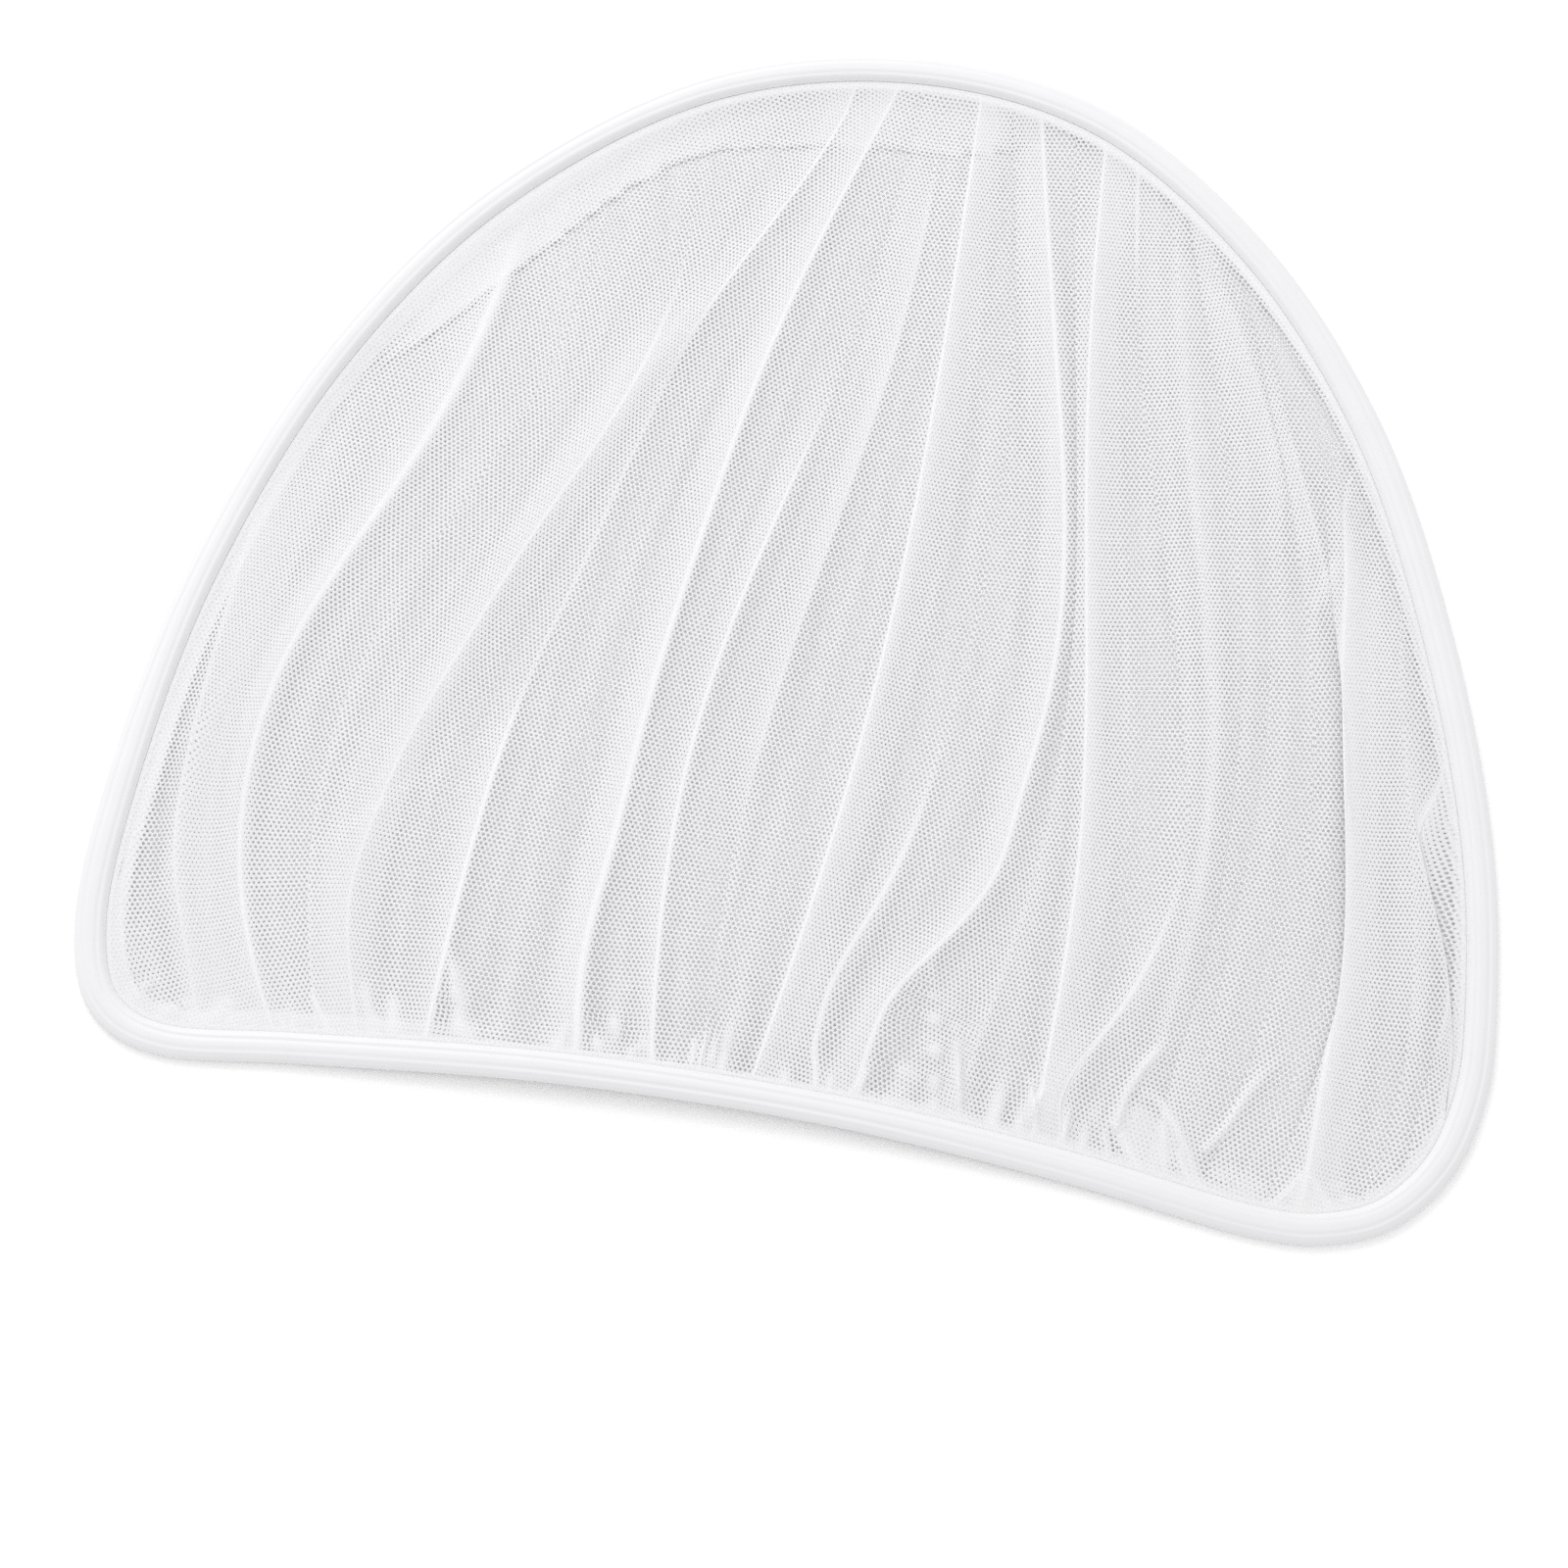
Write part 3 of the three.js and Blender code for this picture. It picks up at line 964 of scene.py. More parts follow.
@dataclass(frozen=True)
class MeshFinish:
    """Sheer knitted mesh: round holes in staggered rows, in white threads that glow a little.

    The holes draw shut where the piece's own crowd attribute says that the meshes are pressed
    together. The thread colour is painted: painted shade towards the holes, and painted light on
    the middles of the threads and where the meshes are pressed, which lights the crowded crests.
    hole, edge and the reach of the threads' rise are shares of the pitch, wander is how far the
    rows stray, and relief is the height of the threads.
    """

    name: str
    pitch: float = 0.0020
    hole: float = 0.305
    closing: float = 1.4
    edge: float = 0.06
    wander: float = 0.0009
    wander_scales: tuple[float, float] = (42.0, 31.0)
    streak: float = 0.4
    streak_scale: float = 75.0
    streak_length: float = 0.07
    # painted light and shade: how far from shade to white the thread middles and the pressed meshes are
    # painted; the same shares raise the threads' relief
    open_rise_and_painted_light: float = 0.55
    pressed_rise_and_painted_light: float = 0.7
    rise_and_light_reach: float = 0.56
    # white is the painted light of the thread middles and crowded crests, and shade the painted shade
    # towards the holes
    white: tuple[float, float, float] = (0.905, 0.905, 0.912)
    shade: tuple[float, float, float] = (0.75, 0.75, 0.778)
    glow: float = 0.25
    relief: float = 0.00025
    relief_strength: float = 0.6
    roughness: float = 0.72
    sheen: float = 0.15

    def material(self) -> bpy.types.Material:
        """Builds the material.

        Returns:
            The material.
        """
        recipe = Recipe(self.name)
        place = recipe.place()
        u, v = recipe.parts(place)
        u = u + (recipe.noise(place, self.wander_scales[0], 1) - 0.5) * self.wander
        v = v + (recipe.noise(place, self.wander_scales[1], 1) - 0.5) * self.wander
        row = self.pitch * math.sqrt(3)
        across, along = u / self.pitch, v / row
        away = self._away(across, along, row).least(self._away(across + 0.5, along + 0.5, row))
        crowd = recipe.attribute(CROWD)
        crowd = crowd + (self._streaks(recipe, u, v) - 0.5) * self.streak * (1.0 - crowd)
        radius = self.pitch * self.hole
        soft = self.pitch * self.edge
        drawn = radius - crowd * (self.closing * (radius + soft))
        thread = away.rise(drawn - soft, drawn + soft)
        # Painted shade and light: the threads darken towards the holes and whiten where the meshes are
        # pressed, and the same share raises their relief.
        open_thread_rise_and_light = away.rise(drawn, self.pitch * self.rise_and_light_reach) * self.open_rise_and_painted_light
        thread_rise_and_painted_light = (open_thread_rise_and_light + crowd * crowd * self.pressed_rise_and_painted_light).least(1.0)
        looks = {
            "Base Color": recipe.blend(thread_rise_and_painted_light, self.shade, self.white),
            "Roughness": self.roughness,
            "Normal": recipe.relief(thread_rise_and_painted_light, self.relief_strength, self.relief),
            "Sheen Weight": self.sheen,
        }
        front = recipe.node("ShaderNodeBsdfPrincipled", {}, looks)
        back = recipe.node("ShaderNodeBsdfTranslucent", {}, {"Color": (*self.white, 1.0)})
        sides = {0: self.glow, 1: front.outputs[0], 2: back.outputs[0]}
        cloth = recipe.node("ShaderNodeMixShader", {}, sides)
        gap = recipe.node("ShaderNodeBsdfTransparent", {}, {})
        both = recipe.node("ShaderNodeMixShader", {}, {0: thread, 1: gap.outputs[0], 2: cloth.outputs[0]})
        return recipe.finish(both)

    def _streaks(self, recipe: Recipe, u: Value, v: Value) -> Value:
        """Faint long streaks, where the gathered meshes lie a little closer or wider."""
        drawn_out = recipe.node("ShaderNodeCombineXYZ", {}, {0: u, 1: v * self.streak_length})
        return recipe.noise(drawn_out.outputs[0], self.streak_scale, 2)

    def _away(self, across: Value, along: Value, row: float) -> Value:
        """How far a point is from the nearest hole of one of the two sets of rows.

        Args:
            across: Its place across the rows, in pitches.
            along: Its place along them, in rows.
            row: The length of a row.

        Returns:
            The distance in metres.
        """
        side = (across.fract() - 0.5) * self.pitch
        up = (along.fract() - 0.5) * row
        return (side * side + up * up).root()


@dataclass(frozen=True)
class BindingFinish:
    """Soft satin stretch cloth with fine lengthwise ribs.

    rib and stitch are the distances between the ribs and along them. stitched is the share of
    the relief that the stitches have. The colour varies at random like a cloud, and a share of it
    follows the rib relief, darker in its hollows: painted shade in the ribs.
    """

    name: str = "satin_binding"
    # shade is the colour of the darker random cloud and of the rib hollows, where it is painted shade
    white: tuple[float, float, float] = (0.72, 0.72, 0.73)
    shade: tuple[float, float, float] = (0.69, 0.69, 0.705)
    rib: float = 0.0006
    stitch: float = 0.0009
    stitched: float = 0.3
    # painted shade: the share of the colour that follows the rib relief, darker in its hollows
    painted_rib_shade: float = 0.3
    cloud_scale: float = 60.0
    relief: float = 0.00008
    relief_strength: float = 0.35
    roughness: float = 0.5
    sheen: float = 0.25
    sheen_roughness: float = 0.4

    def material(self) -> bpy.types.Material:
        """Builds the material.

        Returns:
            The material.
        """
        recipe = Recipe(self.name)
        place = recipe.place()
        u, v = recipe.parts(place)
        ribs = self._waves(u, self.rib)
        stitches = self._waves(v, self.stitch)
        knit = ribs * (1 - self.stitched) + ribs * stitches * self.stitched
        cloud = recipe.noise(place, self.cloud_scale, 2)
        # Painted shade: part of the colour follows the rib relief, darker in its hollows; the rest varies
        # at random.
        tone_and_rib_shade = cloud * (1 - self.painted_rib_shade) + knit * self.painted_rib_shade
        looks = {
            "Base Color": recipe.blend(tone_and_rib_shade, self.shade, self.white),
            "Roughness": self.roughness,
            "Normal": recipe.relief(knit, self.relief_strength, self.relief),
            "Sheen Weight": self.sheen,
            "Sheen Roughness": self.sheen_roughness,
        }
        return recipe.finish(recipe.node("ShaderNodeBsdfPrincipled", {}, looks))

    def _waves(self, place: Value, length: float) -> Value:
        """Waves of that length, from 0 to 1."""
        return (place * (2 * math.pi / length)).sine() * 0.5 + 0.5


@dataclass(frozen=True)
class FloorFinish:
    """Plain matt white surface with the faintest grain."""

    name: str = "plain_floor"
    white: tuple[float, float, float] = (0.95, 0.95, 0.95)
    shade: tuple[float, float, float] = (0.945, 0.945, 0.945)
    grain_scale: float = 30.0
    roughness: float = 0.9

    def material(self) -> bpy.types.Material:
        """Builds the material.

        Returns:
            The material.
        """
        recipe = Recipe(self.name)
        place = recipe.node("ShaderNodeTexCoord", {}, {}).outputs["Object"]
        colour = recipe.blend(recipe.noise(place, self.grain_scale, 2), self.shade, self.white)
        looks = {"Base Color": colour, "Roughness": self.roughness}
        return recipe.finish(recipe.node("ShaderNodeBsdfPrincipled", {}, looks))


@dataclass
class ClothGrid:
    """A grid of cloth, made a mesh with its own cloth coordinates and crowding.

    Points are in millimetres, one row of the array for each column of the grid. A grid of
    panels says how many columns of faces each has in panel, and its flat places hold the last
    column of each panel beside the first of the next. Edges sharper than crisp_deg stay crisp.
    """

    name: str
    points: np.ndarray
    flat: np.ndarray
    crowd: np.ndarray
    panel: int = 0
    crisp_deg: float = 180.0
    doubled: float = 0.000002

    def make(self, material: bpy.types.Material) -> bpy.types.Object:
        """Makes the mesh object.

        Args:
            material: The finish of the cloth.

        Returns:
            The object, at the world origin, with its place in its mesh.
        """
        columns, rows = self.points.shape[:2]
        c, r = np.meshgrid(np.arange(columns - 1), np.arange(rows - 1), indexing="ij")
        first = c * rows + r
        corners = np.stack([first, first + 1, first + rows + 1, first + rows], axis=-1)
        faces = corners.reshape(-1, 4)
        mesh = bpy.data.meshes.new(self.name)
        mesh.vertices.add(columns * rows)
        mesh.vertices.foreach_set("co", (self.points.reshape(-1) * MM).astype(np.float32))
        mesh.loops.add(faces.size)
        mesh.loops.foreach_set("vertex_index", faces.reshape(-1).astype(np.int32))
        mesh.polygons.add(len(faces))
        mesh.polygons.foreach_set("loop_start", np.arange(0, faces.size, 4, dtype=np.int32))
        mesh.update(calc_edges=True)
        layer = mesh.uv_layers.new(name=CLOTH_UV)
        layer.data.foreach_set("uv", self._corner_places(c, r).reshape(-1).astype(np.float32))
        crowding = mesh.attributes.new(CROWD, "FLOAT", "POINT")
        crowding.data.foreach_set("value", self.crowd.reshape(-1).astype(np.float32))
        mesh.materials.append(material)
        made = bpy.data.objects.new(self.name, mesh)
        bpy.context.scene.collection.objects.link(made)
        self._tidy(made)
        return made

    def _corner_places(self, c: np.ndarray, r: np.ndarray) -> np.ndarray:
        """The cloth coordinates of each face corner, where each panel has its own.

        Args:
            c: The first column of each face.
            r: The first row of each face.

        Returns:
            Coordinates in metres for the four corners of each face.
        """
        own = c + c // self.panel if self.panel else c
        corners = ((own, r), (own, r + 1), (own + 1, r + 1), (own + 1, r))
        return np.stack([self.flat[corner] for corner in corners], axis=2) * MM

    def _tidy(self, made: bpy.types.Object) -> None:
        """Merges doubled points at the corners and shades the cloth smooth.

        Args:
            made: The object.
        """
        bpy.ops.object.select_all(action="DESELECT")
        bpy.context.view_layer.objects.active = made
        made.select_set(True)
        bpy.ops.object.mode_set(mode="EDIT")
        bpy.ops.mesh.select_all(action="SELECT")
        bpy.ops.mesh.remove_doubles(threshold=self.doubled)
        bpy.ops.object.mode_set(mode="OBJECT")
        bpy.ops.object.shade_smooth_by_angle(angle=math.radians(self.crisp_deg))
        bpy.ops.object.select_all(action="DESELECT")


@dataclass
class UpperNet:
    """The gathered upper layer of the net, which carries all the folds.

    edge_rows are how far the rows near each end of a column are from it, and shares how far the
    columns near each side of a panel are across it. settle, slope_width, crest_share,
    crest_least, veil_reach and veil_strength say how the folds' own sizes show in the slack
    cloth. comb is how much closer crowded meshes lie. The foot, crown and joined values are
    for the cloth beside the binding. At the crown the joined crowding reaches further from the
    binding, as painted light over the shadow that the binding casts on the net.
    """

    loop: Loop
    band_thickness: float = 5.0
    thickness: float = 1.2
    floor_gap: float = 0.4
    puff: float = 2.2
    calm_margin: float = 1.2
    calm_width: float = 11.0
    lift_start: float = 0.6
    middle_rows: int = 146
    edge_rows: tuple[float, ...] = (0, 1.2, 2.4, 3.4, 4.2, 5, 5.8, 6.8, 8, 9.5, 11.5, 14, 17)
    edge_limit: float = 0.3
    shares: tuple[float, ...] = (0, 0.008, 0.018, 0.03, 0.046, 0.066, 0.092, 0.13, 0.19, 0.27, 0.38)
    settle: float = 0.26
    slope_width: float = 8.0
    crest_share: float = 0.42
    crest_least: float = 0.2
    veil_reach: float = 1.7
    veil_strength: float = 0.92
    flat_heads: tuple[float, float] = (0.02, 0.16)
    comb: float = 1.1
    gather: float = 0.9
    pinch: float = 1.8
    foot_bias: float = 1.35
    foot_crowd: float = 0.1
    foot_strip: tuple[float, float] = (-222.0, -198.0)
    foot_slope: float = 0.09
    crown: Ramp = Ramp(60, 160)
    joined: float = 0.8
    joined_end: tuple[float, float] = (1.2, 2.4)
    # painted light: at the crown the crowding reaches further from the binding, to lighten the shadow
    # that it casts on the net
    crown_join_and_painted_light: tuple[float, float] = (2.5, 4.4)
    widest: float = -0.3
    way_knots: tuple[float, ...] = (0.1, 0.3, 0.5, 0.7, 0.9)
    way_reach: float = 0.1
    turned: TurnedEdge = field(default_factory=TurnedEdge)

    def build(self) -> bpy.types.Object:
        """Builds the layer, dresses it and hides the part that it replaces.

        Returns:
            The piece.
        """
        made = self.grid().make(MeshFinish("sheer_mesh").material())
        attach(made, BODY)
        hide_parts("net")
        return made

    def grid(self) -> ClothGrid:
        """Works out the whole layer, one panel between each two folds.

        Returns:
            The layer's grid, with its columns from left to right.
        """
        parts = np.array([*self.shares, 0.5, *(1 - s for s in reversed(self.shares))])
        panels = [self._panel(a, b, parts) for a, b in zip(FOLDS[:-1], FOLDS[1:])]
        step = len(parts) - 1
        points = np.concatenate([p[0][:step] for p in panels] + [panels[-1][0][step:]])
        crowd = np.concatenate([p[2][:step] for p in panels] + [panels[-1][2][step:]])
        flat = np.concatenate([p[1] for p in panels])
        return ClothGrid(Role.UPPER.value, points, flat, crowd, panel=step)

    def _row_shares(self, length: float) -> np.ndarray:
        """Shares of a column's length, closer together near both ends.

        Args:
            length: The column's length.

        Returns:
            The shares, from 0 to 1.
        """
        edge = np.array(self.edge_rows) / max(length, TINY)
        edge = edge * min(1.0, self.edge_limit / edge[-1])
        even = np.linspace(0, 1, self.middle_rows)[1:-1]
        middle = lerp(edge[-1], 1 - edge[-1], 1 - (1 - even) ** self.foot_bias)
        return np.concatenate([edge, middle, 1 - edge[::-1]])

    def _slope(
        self, fold: Fold, veil: Veil, away: np.ndarray, share: np.ndarray
    ) -> tuple[np.ndarray, np.ndarray]:
        """The height and the crowding that a fold gives to points beside its crest.

        Args:
            fold: The fold.
            veil: The veil on that side of it.
            away: How far each point is from the crest.
            share: The points' shares of the fold's length.

        Returns:
            The heights, and how closely the meshes are crowded.
        """
        stands = fold.stands(share)
        height = self.settle * fold.rise * stands * bell(away, self.slope_width)
        height = height * smooth(share, *self.flat_heads)
        width = self.crest_share * lerp(fold.thick, fold.foot_thick, share) + self.crest_least
        crest = fold.crest * bell(away, width)
        near = np.clip(1 - away / (self.veil_reach * veil.width), 0, 1)
        return height, np.maximum(crest, self.veil_strength * veil.strength * near) * stands

    def _panel(self, a: Fold, b: Fold, parts: np.ndarray) -> tuple[np.ndarray, np.ndarray, np.ndarray]:
        """Works out the cloth between two folds.

        Args:
            a: The fold on the left.
            b: The fold on the right.
            parts: Shares of the way from a to b, one for each column.

        Returns:
            The points, the flat cloth coordinates and the crowding, one row for each column.
        """
        lines = [FoldLine(a, b, part) for part in parts]
        shares = np.stack([self._row_shares(line.length(self.loop)) for line in lines])
        plan = np.stack([line.at(self.loop, s) for line, s in zip(lines, shares)])
        mid = len(parts) // 2
        middle = plan[mid]
        tangent = self._steady_way(lines[mid], shares[mid])
        right = np.stack([-tangent[:, 1], tangent[:, 0]], axis=1)
        across = ((plan - middle[None]) * right[None]).sum(axis=2)
        rise_a, crowd_a = self._slope(a, a.right, np.abs(across - across[:1]), shares)
        rise_b, crowd_b = self._slope(b, b.left, np.abs(across[-1:] - across), shares)
        gap, lift = self.loop.beside(plan)
        gather, gathered = self._gathers(plan)
        pinch, pinched = self._ruffles(plan)
        height = self._height(shares, gap, lift, rise_a + rise_b + gather + pinch)
        points = np.concatenate([plan, height[..., None]], axis=2)
        drawn = 1 - (1 - crowd_a) * (1 - crowd_b) * (1 - gathered)
        crowd = self._crowding(plan, gap, 1 - (1 - drawn) * (1 - pinched))
        return points, self._flat(points, drawn, across, middle, tangent, mid), crowd

    def _height(
        self, shares: np.ndarray, gap: np.ndarray, lift: np.ndarray, raised: np.ndarray
    ) -> np.ndarray:
        """The layer's height, which runs from the binding's slit down to the loose cloth.

        Args:
            shares: The points' shares of their columns' lengths.
            gap: How far each point is from the binding.
            lift: How far the binding is lifted there.
            raised: How much the folds and creases raise it.

        Returns:
            The heights.
        """
        held = lift + self.band_thickness / 2
        puff = self.puff * np.sin(math.pi * shares) + lift * smooth(shares, self.lift_start, 1)
        loose = self.floor_gap + self.thickness / 2 + puff + raised
        return lerp(held, loose, smooth(gap, self.calm_margin, self.calm_margin + self.calm_width))

    def _crowding(self, plan: np.ndarray, gap: np.ndarray, folded: np.ndarray) -> np.ndarray:
        """How closely the meshes crowd in all.

        Args:
            plan: Plan points.
            gap: How far each is from the binding.
            folded: How closely the folds and creases crowd the meshes.

        Returns:
            The crowding, which is less than 0 where the meshes are drawn wider.
        """
        doubled, wider = self.turned.seen_through(plan)
        crowd = 1 - (1 - folded) * (1 - self._rim(plan, gap)) * (1 - doubled)
        wider = wider + sum(strip.on(plan, gap) for strip in WIDER_STRIPS)
        return np.clip(crowd - wider * (1 - crowd), self.widest, 1)

    def _steady_way(self, line: FoldLine, shares: np.ndarray) -> np.ndarray:
        """The line's direction at these shares, evened out so that the mesh turns slowly along it.

        Args:
            line: The line.
            shares: Shares of its length, from the head.

        Returns:
            The direction in plan at each share.
        """
        knots = np.array(self.way_knots)
        chords = line.at(self.loop, knots + self.way_reach) - line.at(self.loop, knots - self.way_reach)
        ways = chords / np.maximum(np.linalg.norm(chords, axis=1, keepdims=True), TINY)
        even = np.stack([np.interp(shares, knots, way) for way in ways.T], axis=1)
        return even / np.maximum(np.linalg.norm(even, axis=1, keepdims=True), TINY)

    def _gathers(self, plan: np.ndarray) -> tuple[np.ndarray, np.ndarray]:
        """The height and crowding of the short creases at the straight edge.

        Args:
            plan: Plan points.

        Returns:
            The heights, and how closely the meshes are crowded.
        """
        height = np.zeros(plan.shape[:2])
        open_share = np.ones(plan.shape[:2])
        for gather in GATHERS:
            raised, pressed = gather.on(plan, self.loop.straight.at(gather.foot))
            height = height + self.gather * raised
            open_share = open_share * (1 - pressed)
        return height, 1 - open_share

    def _ruffles(self, plan: np.ndarray) -> tuple[np.ndarray, np.ndarray]:
        """The height and crowding of the small pinches at the straight edge.

        Args:
            plan: Plan points.

        Returns:
            The heights, and how closely the meshes are crowded.
        """
        height = np.zeros(plan.shape[:2])
        open_share = np.ones(plan.shape[:2])
        for ruffle in RUFFLES:
            on = ruffle.on(plan)
            height = height + self.pinch * ruffle.rise * on
            open_share = open_share * (1 - ruffle.crowd * on)
        return height, 1 - open_share

    def _rim(self, plan: np.ndarray, gap: np.ndarray) -> np.ndarray:
        """How closely the meshes crowd beside the binding, and in the pressed patches.

        Args:
            plan: Plan points.
            gap: How far each is from the binding.

        Returns:
            The crowding.
        """
        x, y = plan[..., 0], plan[..., 1]
        low, high = (edge + self.foot_slope * np.abs(x) for edge in self.foot_strip)
        open_share = 1 - self.foot_crowd * (1 - smooth(y, low, high))
        # Painted light: at the crown the joined crowding reaches further out, lightening the binding's
        # shadow on the net.
        crown = self.crown.at(y)
        near, far = (lerp(a, b, crown) for a, b in zip(self.joined_end, self.crown_join_and_painted_light))
        open_share = open_share * (1 - self.joined * (1 - smooth(gap, near, far)))
        for strip in CLOSER_STRIPS:
            open_share = open_share * (1 - strip.on(plan, gap))
        for patch in PATCHES:
            open_share = open_share * (1 - patch.on(plan))
        return 1 - open_share

    def _flat(
        self,
        points: np.ndarray,
        crowd: np.ndarray,
        across: np.ndarray,
        middle: np.ndarray,
        tangent: np.ndarray,
        mid: int,
    ) -> np.ndarray:
        """Lays a panel out flat.

        Args:
            points: The panel's points.
            crowd: How closely its meshes are crowded.
            across: How far each point is from the panel's middle line.
            middle: The plan points of that line.
            tangent: Its direction at each point.
            mid: The number of its column.

        Returns:
            Cloth coordinates in millimetres: across the panel, and along it.
        """
        rise = np.diff(points[..., 2], axis=0)
        run = np.diff(across, axis=0)
        reached = running(np.hypot(rise, run) * (1 + self.comb * (crowd[1:] + crowd[:-1]) / 2))
        side = reached - reached[mid]
        way = (tangent[1:] + tangent[:-1]) / 2
        steps = np.diff(middle, axis=0)
        along = running((steps * way).sum(axis=1))
        aside = running(steps[:, 1] * way[:, 0] - steps[:, 0] * way[:, 1])
        shift = ((points[..., :2] - middle[None]) * tangent[None]).sum(axis=2)
        return np.stack([side + aside[None], along[None] + shift], axis=2)


@dataclass
class UnderNet:
    """The rest of the slack cloth, lying flat under the folds with faint waves in it.

    edge_rows are shares of the way from its edge to its centre, for the rows beside the edge.
    turn_deg is how its rows of meshes lie to those of the folds.
    """

    loop: Loop
    centre: tuple[float, float] = (0.0, -40.0)
    edge_rows: tuple[float, ...] = (0, 0.01, 0.02, 0.03, 0.045, 0.06)
    first_row: float = 0.08
    rows: int = 40
    inset: float = 2.5
    resting: float = 0.45
    settles: Ramp = Ramp(1, 8)
    wave: float = 0.15
    wave_sizes: tuple[float, float] = (23.0, 31.0)
    wave_start: float = 1.3
    below_upper: float = 0.4
    band_thickness: float = 5.0
    turn_deg: float = 9.0

    def build(self) -> bpy.types.Object:
        """Builds the layer and dresses it.

        Returns:
            The piece.
        """
        made = self.grid().make(MeshFinish("under_mesh", pitch=0.00205).material())
        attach(made, BODY)
        return made

    def grid(self) -> ClothGrid:
        """Works out the layer as rings from its edge to its centre.

        Returns:
            The layer's grid, with a column for each station of the loop.
        """
        edge = self.loop.inset(self.inset)
        centre = np.array(self.centre)
        inner = np.concatenate([self.edge_rows, np.linspace(self.first_row, 1, self.rows)])
        plan = lerp(edge[:, None], centre[None, None], inner[None, :, None])
        gap, lift = self.loop.beside(plan)
        held = lift + self.band_thickness / 2 - self.below_upper
        turns = plan / np.array(self.wave_sizes)
        wave = self.wave * np.sin(turns[..., 0] + self.wave_start) * np.cos(turns[..., 1])
        height = lerp(held, self.resting + wave, self.settles.at(gap))
        points = np.concatenate([plan, height[..., None]], axis=2)
        turn = math.radians(self.turn_deg)
        spin = np.array([[math.cos(turn), -math.sin(turn)], [math.sin(turn), math.cos(turn)]])
        ring = np.concatenate([points, points[:1]])
        crowd = np.zeros(ring.shape[:2])
        flat = ring[..., :2] @ spin
        return ClothGrid(Role.UNDER.value, ring, flat, crowd)


@dataclass
class TurnedNet:
    """The spare cloth that is turned in beside the crown and the upper left of the binding.

    start and stop are shares of the net's curved edge, and rows are shares of the way from
    there to the strip's loose edge. gathered is how much longer its cloth is than the edge.
    """

    loop: Loop
    start: float = 0.262
    stop: float = 0.552
    stations: int = 260
    rows: tuple[float, ...] = (0, 0.06, 0.12, 0.18, 0.25, 0.34, 0.46, 0.6, 0.75, 0.88, 0.95, 1)
    resting: float = 0.85
    settles: Ramp = Ramp(1, 8)
    below_upper: float = 0.2
    band_thickness: float = 5.0
    gathered: float = 1.7
    pressed: float = 0.7
    rolled: float = 0.05
    rolled_end: Ramp = Ramp(0.66, 0.42)
    hem: Ramp = Ramp(0.86, 0.97)
    begins: Ramp = Ramp(0, 0.03)
    ends: Ramp = Ramp(1, 0.9)
    joined: float = 0.8
    joined_end: Ramp = Ramp(2.4, 1.2)
    edge: TurnedEdge = field(default_factory=TurnedEdge)

    def build(self) -> bpy.types.Object:
        """Builds the layer and dresses it.

        Returns:
            The piece.
        """
        made = self.grid().make(MeshFinish("turned_mesh", pitch=0.00195).material())
        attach(made, BODY)
        return made

    def grid(self) -> ClothGrid:
        """Works out the strip, from the binding to its own loose edge.

        Returns:
            The strip's grid, with its columns from the left to the crown.
        """
        along = np.linspace(0, 1, self.stations)
        upper = self.loop.curved.at(lerp(self.start, self.stop, along))
        lower = self.edge.line.at(along)
        inner = np.array(self.rows)
        plan = lerp(upper[:, None], lower[:, None], inner[None, :, None])
        gap, lift = self.loop.beside(plan)
        held = lift + self.band_thickness / 2 - self.below_upper
        height = lerp(held, self.resting, self.settles.at(gap))
        points = np.concatenate([plan, height[..., None]], axis=2)
        crowd = self._crowd(along[:, None], inner[None], gap)
        round_rim = Line(upper).reached
        depth = np.linalg.norm(plan - upper[:, None], axis=2)
        flat = np.stack(np.broadcast_arrays(self.gathered * round_rim[:, None], depth), axis=2)
        return ClothGrid(Role.TURNED.value, points, flat, crowd)

    def _crowd(self, along: np.ndarray, inner: np.ndarray, gap: np.ndarray) -> np.ndarray:
        """How closely the meshes crowd: most at the hem, and at the upper left, where it is rolled.

        Args:
            along: Shares of the strip's length.
            inner: Shares of the way to its loose edge.
            gap: How far each point is from the binding.

        Returns:
            The crowding.
        """
        pressed = self.pressed + self.rolled * self.rolled_end.at(along)
        strip = np.maximum(self.hem.at(inner), pressed) * self.begins.at(along) * self.ends.at(along)
        return np.maximum(strip, self.joined * self.joined_end.at(gap))


